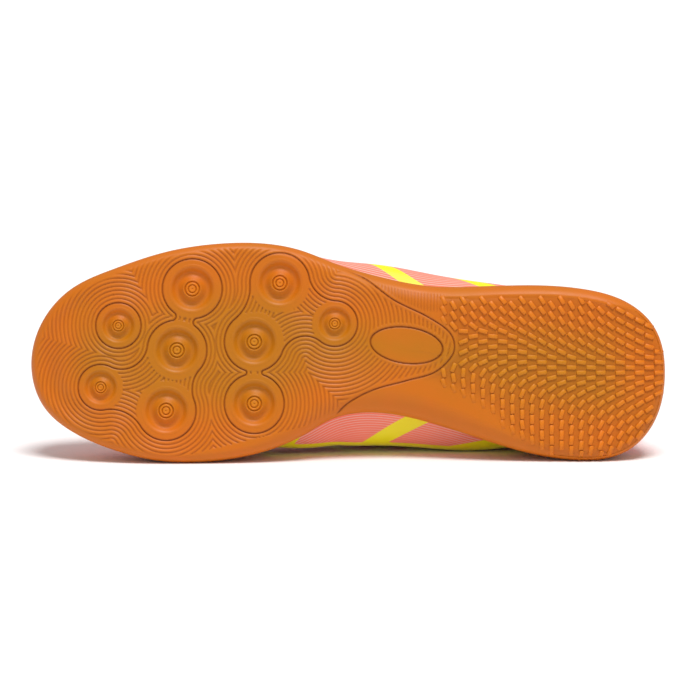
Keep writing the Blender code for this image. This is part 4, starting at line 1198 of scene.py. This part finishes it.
side = np.where(around < 0.5, 1, -1)
chart_x = outer[:, :, 0] * 1000
band = np.full(outer.shape[:2], NO_FILM)
for band_side, line, width in BANDS:
    for start, end in zip(line, line[1:]):
        away = segment_distance(chart_x, over_rim, start, end) - width / 2
        band = np.where(side == band_side, np.minimum(band, away), band)
over_widest = over_rim - over_rim[2 + LOW_ROWS - 1]
for strip_side, x_from, x_to, low, high in STRIPS:
    away = np.maximum.reduce([low - over_widest, over_widest - high, x_from - chart_x, chart_x - x_to])
    band = np.where(side == strip_side, np.minimum(band, away), band)
panel = np.clip(eyestay + counter + collar * (to_edge < COLLAR_SEAM), 0.0, 1.0)
band = np.where(panel > 0.5, NO_FILM, band)

# Punched eyelets: the faces inside each are left out, and its rim is pressed over them further below
EYELET_PAIRS = 6
EYELET_INSET = 0.0065
EYELET_RADIUS = 0.0023

# Shares of the throat's length: where the first pair is, and how far on the last pair is
FIRST_EYELETS = 0.16
EYELETS_SPREAD = 0.76


def eyelets():
    """Centre and normal of each eyelet on the eyestay, medial and lateral by turns, from the toe's end up."""
    found = []
    for pair in range(EYELET_PAIRS):
        share = FIRST_EYELETS + EYELETS_SPREAD * pair / (EYELET_PAIRS - 1)
        along = THROAT_FRONT + (THROAT_BACK - THROAT_FRONT) * share
        for edge in (MEDIAL_EDGE, LATERAL_EDGE):
            way = edge[np.argmin(np.abs(SECTIONS(edge)[:, 2] * LENGTH - along))]
            ways = np.array((way - 1e-3, way, way + 1e-3))
            column = upper_points(ways, (0.0, 1.0), np.linspace(0.0, 1.0, 60))[3:]
            away = np.linalg.norm(column[-1, 1] - column[:, 1], axis=1)
            row = int(np.argmin(np.abs(away - EYELET_INSET)))
            normal = unit(np.cross(column[row + 1, 1] - column[row - 1, 1], column[row, 2] - column[row, 0]))
            found.append((column[row, 1] + normal * EYESTAY_STEP, normal))
    return found


HOLES = eyelets()

# The opening's rolled edge, halfway round, belongs to the shell, and the rest of it to the lining
pad = smooth_step(np.arange(rows) / (rows - 1), *PAD_ROWS)[:, None]
pad = pad * smooth_step(from_toe(around), *PAD_START)
inner = outer - normals * (WALL + COLLAR_PAD * pad)[:, :, None]
inner[0] = outer[0] + (inner[0] - outer[0]) * (1.0, 1.0, 0.0)
middle = (face[-1] + inner[-1]) / 2
thick = np.linalg.norm(face[-1] - inner[-1], axis=1)[:, None]
bulge = ROLL_BULGE * thick * unit(face[-1] - face[-2])
roll_turns = np.linspace(0.0, math.pi, 2 * ROLL_ROWS + 1)[1:-1]
roll = [middle + (face[-1] - middle) * math.cos(turn) + bulge * math.sin(turn) for turn in roll_turns]
shell = np.concatenate([face, roll[:ROLL_ROWS]])
shell_faces = band_faces(len(shell), UPPER_STATIONS)
shell_points = shell.reshape(-1, 3)
in_hole = np.zeros(len(shell_points), bool)
for place, normal in HOLES:
    in_hole |= np.linalg.norm(shell_points - place, axis=1) < 1.12 * EYELET_RADIUS
rolled = np.ones((ROLL_ROWS, UPPER_STATIONS))
upper_shell = add_piece(
    "upper_shell",
    shell_points,
    shell_faces[~in_hole[shell_faces].any(1)],
    TEXTILE,
    attributes={
        "print_height": np.concatenate([over_rim, 0.0 * rolled]).ravel(),
        "band": np.concatenate([band, NO_FILM * rolled]).ravel(),
        "panel": np.concatenate([panel, rolled]).ravel(),
    },
)
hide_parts("upper")

# The lining's lower edge is sewn to a board, whose rim goes on under the liner
BOARD_REACH = 0.0040
kept = [0, 1, 2, *range(4, rows - 14, 4), *range(rows - 14, rows)]
board_inset = cup_foot(around) + CUP_CORNER + WALL + BOARD_REACH
board = ring(around, board_inset, lambda x: bed_height(x) + FIT_GAP / 2)
lining_rings = np.concatenate([roll[ROLL_ROWS - 1 :], inner[kept][::-1], board[None]])
upper_lining = add_piece(
    "upper_lining",
    lining_rings.reshape(-1, 3),
    band_faces(len(lining_rings), UPPER_STATIONS),
    LINING,
)
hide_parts("upper")


# Thread and eyelet rims: bonded polyester thread sewn in rows of short stitches round the eyestay, under the
# collar and along the heel counter, and the pressed rims of the punched eyelets.
STITCH_LENGTH = 0.0021
STITCH_PITCH = 0.0028
THREAD_RADIUS = 0.00027
THREAD_SIDES = 6
RIM_SIDES = 28

# The rows: how far inside the eyestay's outer edge, from the opening's edge, under the collar's seam and
# below the counter's top, the gap between the counter's two rows, and how low they may come
EYESTAY_ROW = 0.0017
OPENING_ROW = 0.0016
COLLAR_ROW = 0.0003
COUNTER_ROW = 0.0018
COUNTER_ROW_GAP = 0.0022
LOWEST_ROW = 0.0005

# The ways round between which the collar's row and the counter's rows run
COLLAR_ROW_WAYS = (0.300, 0.700)
COUNTER_ROW_WAYS = (0.370, 0.630)

# A stitch's rings: share of its length from the middle, share of the thread's radius, and how far it rises
STITCH_RINGS = ((-0.5, 0.35, -0.8), (-0.36, 0.9, 0.0), (0.0, 1.0, 0.35), (0.36, 0.9, 0.0), (0.5, 0.35, -0.8))

# An eyelet rim's rings: radius, and height over the eyestay
RIM_RINGS = (
    (0.0018, -0.0016), (0.0019, 0.0002), (0.0022, 0.0005),
    (0.0028, 0.0005), (0.0033, 0.0002), (0.0034, -0.0003),
)


def sewn_thread():
    """Bonded polyester thread: smooth twisted filaments with a slight shine."""
    material = new_material("bonded_polyester_thread")
    place = node(material, "TexCoord").outputs["Object"]
    # Twisted plies, about 0.4 mm from one to the next
    wave = node(material, "TexWave", {"Vector": place, "Scale": 900.0}, bands_direction="DIAGONAL")
    twist = wave.outputs["Fac"]
    colour = node(material, "Mix", {0: twist, 6: linear("#FFB09E"), 7: linear("#FFD2C4")}, data_type="RGBA")
    shader = node(material, "BsdfPrincipled", {"Base Color": colour.outputs[2], "Roughness": 0.5})
    return finish_material(material, shader)


def along_rows(marks, known, rows):
    """The rows' values at marks, where known gives each row's own mark."""
    return np.column_stack([np.interp(marks, known, column) for column in rows.T])


def on_upper(ways, from_edge):
    """Points and normals on the upper's face, at a distance down from the opening's edge."""
    found = []
    for column, away in zip(ways * UPPER_STATIONS, from_edge):
        left = int(column)
        both = 0.0
        for number, share in ((left, left + 1 - column), (left + 1, column - left)):
            number %= UPPER_STATIONS
            values = np.hstack([face[::-1, number], normals[::-1, number]])
            both += share * along_rows([away], to_edge[::-1, number], values)[0]
        found.append(both)
    found = np.array(found)
    return found[:, :3], unit(found[:, 3:])


def stitch_row(ways, from_edge):
    """Stitches along a row on the upper: for each, its middle, direction and the face's normal."""
    points, directions = on_upper(ways, from_edge * np.ones(len(ways)))
    travelled = np.concatenate([[0.0], np.cumsum(np.linalg.norm(np.diff(points, axis=0), axis=1))])
    marks = np.arange(STITCH_PITCH / 2, travelled[-1], STITCH_PITCH)
    ahead = along_rows(marks + 1e-4, travelled, points) - along_rows(marks - 1e-4, travelled, points)
    normal = unit(along_rows(marks, travelled, directions))
    return np.stack([along_rows(marks, travelled, points), unit(ahead), normal], 1)


seams = []
for front, back in ((0.0, THROAT_TOP), (1.0 - THROAT_TOP, 1.0)):
    ways = np.linspace(front, back - 1e-6, 300)
    seams += [stitch_row(ways, EYESTAY_WIDTH - EYESTAY_ROW), stitch_row(ways, OPENING_ROW)]
seams.append(stitch_row(np.linspace(*COLLAR_ROW_WAYS, 500), COLLAR_SEAM + COLLAR_ROW))
ways = np.linspace(*COUNTER_ROW_WAYS, 300)
top_of_counter = COUNTER_HEIGHT * (1.0 - (np.abs(ways - 0.5) / COUNTER_REACH) ** 2) - COUNTER_ROW
full_height = np.interp(ways, around, from_foot[-1] - from_foot[2])
for lower in (0.0, COUNTER_ROW_GAP):
    seams.append(stitch_row(ways, full_height - np.maximum(top_of_counter - lower, LOWEST_ROW)))
stitches = np.concatenate(seams)
place, along, normal = (stitches[:, None, None, part] for part in range(3))
share, thick, rise = (column[:, None, None] for column in np.array(STITCH_RINGS).T)
turns = turns_of(THREAD_SIDES)[:, None]
middles = place + along * share * STITCH_LENGTH + normal * THREAD_RADIUS * rise
spokes = np.cross(normal, along) * np.cos(turns) + normal * np.sin(turns)
stitching = add_piece(
    "stitching",
    (middles + spokes * THREAD_RADIUS * thick).reshape(-1, 3),
    repeated(band_faces(len(STITCH_RINGS), THREAD_SIDES), len(STITCH_RINGS) * THREAD_SIDES, len(stitches)),
    sewn_thread(),
)
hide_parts("upper")

place, normal = (np.array(part)[:, None, None] for part in zip(*HOLES))
across = unit(np.cross(normal, (1.0, 0.0, 0.0)))
along = np.cross(across, normal)
radius, height = (np.array(part)[:, None, None] for part in zip(*RIM_RINGS))
turns = turns_of(RIM_SIDES)[:, None]
rims = place + (along * np.cos(turns) + across * np.sin(turns)) * radius + normal * height
rim_points = rims.reshape(-1, 3)
eyelet_rims = add_piece(
    "eyelet_rims",
    rim_points,
    repeated(band_faces(len(RIM_RINGS), RIM_SIDES), len(RIM_RINGS) * RIM_SIDES, len(HOLES)),
    TEXTILE,
    attributes={"band": np.full(len(rim_points), NO_FILM), "panel": np.ones(len(rim_points))},
)
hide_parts("upper")


# The insole: a die-cut sock liner of soft foam with a brushed textile face, laid loose on the sole's bed.
INSOLE_STATIONS = 360
INSOLE_THICKNESS = 0.0040
INSOLE_ROWS = 16

# Distance inwards and share of the thickness, up the liner's rounded side
INSOLE_SIDE = (
    (0.0002, 0.0), (0.0, 0.3), (0.0, 0.6), (0.0003, 0.8), (0.0009, 0.93), (0.0020, 1.0), (0.0045, 1.01),
)

around = np.arange(INSOLE_STATIONS) / INSOLE_STATIONS
wall = cup_foot(around) + FIT_GAP + CUP_CORNER + WALL + FIT_GAP
insole_rings = []
for inset_step, share in INSOLE_SIDE:
    lift = FIT_GAP + INSOLE_THICKNESS * share
    insole_rings.append(ring(around, wall + inset_step, lambda x, lift=lift: bed_height(x) + lift))
edge_ring = insole_rings[-1]
mirror = np.roll(edge_ring[::-1], 1, 0)
for share in np.linspace(0.0, 1.0, INSOLE_ROWS)[1:]:
    row = edge_ring + (mirror - edge_ring) * share / 2
    dish = 1.01 - 0.10 * math.sin(math.pi * share / 2)
    row[:, 2] = bed_height(row[:, 0]) + FIT_GAP + INSOLE_THICKNESS * dish
    insole_rings.append(row)
insole_points = np.concatenate(insole_rings)
insole_foam = add_piece("insole_foam", insole_points, band_faces(len(insole_rings), INSOLE_STATIONS), LINING)
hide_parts("insole")


# The tongue: a padded strip of mesh over foam, sewn in at the toe's end of the throat, with a free top edge.
TONGUE_THICKNESS = 0.0040
TONGUE_WIDTH = 0.0370
TONGUE_MARGIN = 0.0040
TONGUE_ROOT_SLOPE = 0.55
TONGUE_CROWN = 0.0024
TONGUE_CLEARANCE = 0.0014
TONGUE_ROOT = 0.0100
TONGUE_ABOVE_THROAT = 0.0200
TONGUE_BEND = 14.0
TONGUE_FOOT = 0.86
TONGUE_END_ROUND = 0.0130
TONGUE_EDGE_ROUND = 0.0018
TONGUE_ROWS = 130
TONGUE_LOOP = 72
CHANNEL_PITCH = 0.0095
CHANNEL_WIDTH = 0.0009
CHANNEL_DEPTH = 0.0005

# The tongue's slope is read this far inside the throat's front and back
SLOPE_FRONT = 0.004
SLOPE_BACK = 0.002


def throat_edges(x):
    """The throat's two edges at a place along the shoe: their y and height, medial then lateral."""
    found = []
    for edge in (MEDIAL_EDGE, LATERAL_EDGE):
        sections = SECTIONS(edge)
        order = np.argsort(sections[:, 2])
        at = np.interp(x / LENGTH, sections[order, 2], np.arange(len(order)))
        y = np.interp(at, np.arange(len(order)), sections[order, 3]) * BALL_WIDTH
        z = np.interp(at, np.arange(len(order)), sections[order, 4]) * COLLAR_HEIGHT
        found.append((y, z))
    return found


def edge_height(x):
    (_, z_medial), (_, z_lateral) = throat_edges(x)
    return (z_medial + z_lateral) / 2


def tongue_row(x, shares):
    """Points on the tongue's top, shares running from -1 to 1 over its width: an arch under the throat."""
    step = 0.005
    inside_x = min(max(x, THROAT_FRONT + SLOPE_FRONT), THROAT_BACK - SLOPE_BACK)
    (y_medial, z_medial), (y_lateral, z_lateral) = throat_edges(inside_x)
    half_throat = (y_medial - y_lateral) / 2
    past = max(0.0, x - THROAT_BACK)
    slope = (edge_height(inside_x + step) - edge_height(inside_x - step)) / (2 * step)
    if x < THROAT_FRONT + SLOPE_FRONT:
        slope = TONGUE_ROOT_SLOPE
    height = (z_medial + z_lateral) / 2 + slope * (x - inside_x) + TONGUE_BEND * past**2
    width = min(half_throat + TONGUE_MARGIN, TONGUE_WIDTH / 2)
    width -= TONGUE_MARGIN * smooth_step(x, THROAT_BACK - 0.006, THROAT_BACK + 0.003)
    across = shares * width
    beyond = np.maximum(0.0, np.abs(across) - half_throat)
    crown = TONGUE_CROWN * smooth_step(x, THROAT_FRONT, THROAT_FRONT + 0.015)
    arch = crown * (1.0 - (across / half_throat) ** 2) - 0.8 * beyond
    top = height + arch - WALL - TONGUE_CLEARANCE
    return np.column_stack([np.full(len(shares), x), (y_medial + y_lateral) / 2 + across, top])


def spacer_mesh():
    """Knitted spacer mesh: rows of small open cells over foam, soft and matt."""
    material = new_material("knitted_spacer_mesh")
    along = node(material, "Attribute", attribute_name="knit_along").outputs["Fac"]
    across = node(material, "Attribute", attribute_name="knit_across").outputs["Fac"]
    place = node(material, "CombineXYZ", {"X": along, "Y": across}).outputs[0]
    # Cells of about 1.2 mm, drawn at 1.5 mm so that they show
    spacing = {"Vector": place, "Scale": 0.67, "Randomness": 0.12}
    cells = node(material, "TexVoronoi", spacing, voronoi_dimensions="2D").outputs["Distance"]
    yarn = node(material, "MapRange", {"Value": cells, "From Min": 0.22, "From Max": 0.40}).outputs[0]
    colour = node(material, "Mix", {0: yarn, 6: linear("#C24E3E"), 7: linear("#EE7C69")}, data_type="RGBA")
    bump = node(material, "Bump", {"Height": yarn, "Strength": 0.6, "Distance": 0.0003})
    shader = node(
        material,
        "BsdfPrincipled",
        {
            "Base Color": colour.outputs[2],
            "Roughness": 0.85,
            "Sheen Weight": 0.3,
            "Normal": bump.outputs[0],
        },
    )
    return finish_material(material, shader)


def squared(values, power):
    """Sines or cosines pushed outwards, so that a circle made with them turns squarer."""
    return np.sign(values) * np.abs(values) ** power


turns = turns_of(TONGUE_LOOP)
loop_share = squared(np.cos(turns), 0.75)
loop_level = squared(np.sin(turns), 0.55)
tongue_start = THROAT_FRONT - TONGUE_ROOT
tongue_end = THROAT_BACK + TONGUE_ABOVE_THROAT
tongue_rings, tongue_levels = [], []
for share in np.sin(np.linspace(0.0, math.pi / 2, TONGUE_ROWS)):
    x = tongue_start + (tongue_end - tongue_start) * share
    narrow = TONGUE_FOOT + (1.0 - TONGUE_FOOT) * smooth_step(x, tongue_start, THROAT_FRONT)
    near_end = max(0.0, 1.0 - (tongue_end - x) / TONGUE_END_ROUND)
    narrow *= max(1.0 - near_end**3.0, 0.0001) ** (1 / 3.0)
    end_round = math.sqrt(max(1.0 - max(0.0, 1.0 - (tongue_end - x) / TONGUE_EDGE_ROUND) ** 2, 0.02))
    top = tongue_row(x, narrow * loop_share)
    thickness = TONGUE_THICKNESS * (0.5 + 0.5 * smooth_step(x, tongue_start, THROAT_BACK)) * end_round
    thickness = thickness * (1.0 - 0.45 * loop_share**4)
    from_channel = (top[:, 1] + CHANNEL_PITCH / 2) % CHANNEL_PITCH - CHANNEL_PITCH / 2
    channel = CHANNEL_DEPTH * trough(from_channel, CHANNEL_WIDTH)
    channel *= (loop_level > 0.5) * smooth_step(x, THROAT_FRONT, THROAT_FRONT + 0.02)
    top[:, 2] += -thickness / 2 + thickness / 2 * loop_level - channel
    tongue_rings.append(top)
    tongue_levels.append(thickness / 2 * loop_level)
tongue_points = np.concatenate(tongue_rings)
tongue_faces = [
    band_faces(TONGUE_ROWS, TONGUE_LOOP)[:, ::-1],
    cap_faces(0, TONGUE_LOOP),
    cap_faces((TONGUE_ROWS - 1) * TONGUE_LOOP, TONGUE_LOOP)[:, ::-1],
]
tongue_pad = add_piece(
    "tongue_pad",
    tongue_points,
    np.concatenate(tongue_faces),
    spacer_mesh(),
    attributes={
        "knit_along": (tongue_points[:, 0] - np.concatenate(tongue_levels)) * 1000,
        "knit_across": tongue_points[:, 1] * 1000,
    },
)
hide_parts("tongue")


# The lace: one flat woven polyester lace, yellow, run as a bar and crossings from eyelet to eyelet. Its
# ends go down through the top eyelets and stop there, as the photograph doesn't show them.
LACE_HALF_WIDTH = 0.0019
LACE_HALF_THICKNESS = 0.0009
LACE_CLEAR = 0.0019
LACE_LOOP = 16

# How the lace leaves an eyelet: height along its normal, and distance across towards the other eyelet
LACE_EXIT = ((-0.0030, 0.0), (-0.0008, 0.0), (0.0006, 0.0004), (1.1 * LACE_CLEAR, 0.0024))
LACE_TWIST_ROWS = 6

# Where it bends over towards the crossing: times LACE_CLEAR up, and a share of the way across; then the
# crossing's own height, and how much higher every other run crosses, so that it passes over the last one
LACE_BEND = (1.9, 0.22)
CROSSING_RISE = 2.6 * LACE_CLEAR
OVERPASS = 0.0009
LACE_SPACING = 0.0007


def woven_lace():
    """Flat tubular polyester weave: bright yellow, with a fine herringbone that catches a little light."""
    material = new_material("woven_polyester_lace")
    place = node(material, "TexCoord").outputs["Object"]
    # Herringbone of about 0.4 mm, drawn at 0.9 mm so that it shows
    wave = {"Vector": place, "Scale": 400.0, "Distortion": 1.5}
    picks = node(material, "TexWave", wave, bands_direction="DIAGONAL").outputs["Fac"]
    colour = node(material, "Mix", {0: picks, 6: linear("#C9BE06"), 7: linear("#F2EA28")}, data_type="RGBA")
    bump = node(material, "Bump", {"Height": picks, "Strength": 0.5, "Distance": 0.0002})
    look = {"Base Color": colour.outputs[2], "Normal": bump.outputs[0], "Roughness": 0.7, "Sheen Weight": 0.2}
    return finish_material(material, node(material, "BsdfPrincipled", look))


def flat_cord(path, ups):
    """A flat oval cord along a path, its broad side facing up; returns its rings."""
    ahead = unit(np.gradient(path, axis=0))
    across = unit(np.cross(ahead, ups))
    upright = np.cross(across, ahead)
    turn = turns_of(LACE_LOOP)[:, None]
    wide = squared(np.cos(turn), 0.8) * LACE_HALF_WIDTH
    thick = squared(np.sin(turn), 0.8) * LACE_HALF_THICKNESS
    return path[:, None] + across[:, None] * wide + upright[:, None] * thick


medial, lateral = HOLES[0::2], HOLES[1::2]
runs = [(medial[0], lateral[0])]
for pair in range(EYELET_PAIRS - 1):
    runs.append((medial[pair], lateral[pair + 1]))
    runs.append((lateral[pair], medial[pair + 1]))
lace_rings, lace_faces = [], []
for order, ((hole_a, normal_a), (hole_b, normal_b)) in enumerate(runs):
    over = unit(normal_a + normal_b)
    across = hole_b - hole_a
    middle = (hole_a + hole_b) / 2 + over * (CROSSING_RISE + OVERPASS * (order % 2))
    ends = []
    for hole, normal, towards in ((hole_a, normal_a, across), (hole_b, normal_b, -across)):
        end = [hole + normal * rise + unit(towards) * aside for rise, aside in LACE_EXIT]
        ends.append([*end, hole + over * LACE_BEND[0] * LACE_CLEAR + towards * LACE_BEND[1]])
    path = smooth_path([*ends[0], middle, *ends[1][::-1]], LACE_SPACING)
    share = np.linspace(0.0, 1.0, len(path))[:, None]
    ups = unit(normal_a * (1 - share) + normal_b * share + 1.2 * over * np.sin(np.pi * share))
    # Inside an eyelet the lace stands on edge
    in_hole = np.zeros((len(path), 1))
    in_hole[:LACE_TWIST_ROWS, 0] = np.linspace(1.0, 0.0, LACE_TWIST_ROWS)
    in_hole[-LACE_TWIST_ROWS:, 0] = np.linspace(0.0, 1.0, LACE_TWIST_ROWS)
    ups = unit(ups * (1 - in_hole) - in_hole * unit(across) * np.where(share < 0.5, 1.0, -1.0))
    lace_faces.append(band_faces(len(path), LACE_LOOP)[:, ::-1] + LACE_LOOP * sum(map(len, lace_rings)))
    lace_rings.append(flat_cord(path, ups))
lace_points = np.concatenate(lace_rings).reshape(-1, 3)
lace = add_piece("lace_weave", lace_points, np.concatenate(lace_faces), woven_lace())
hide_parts("lace")
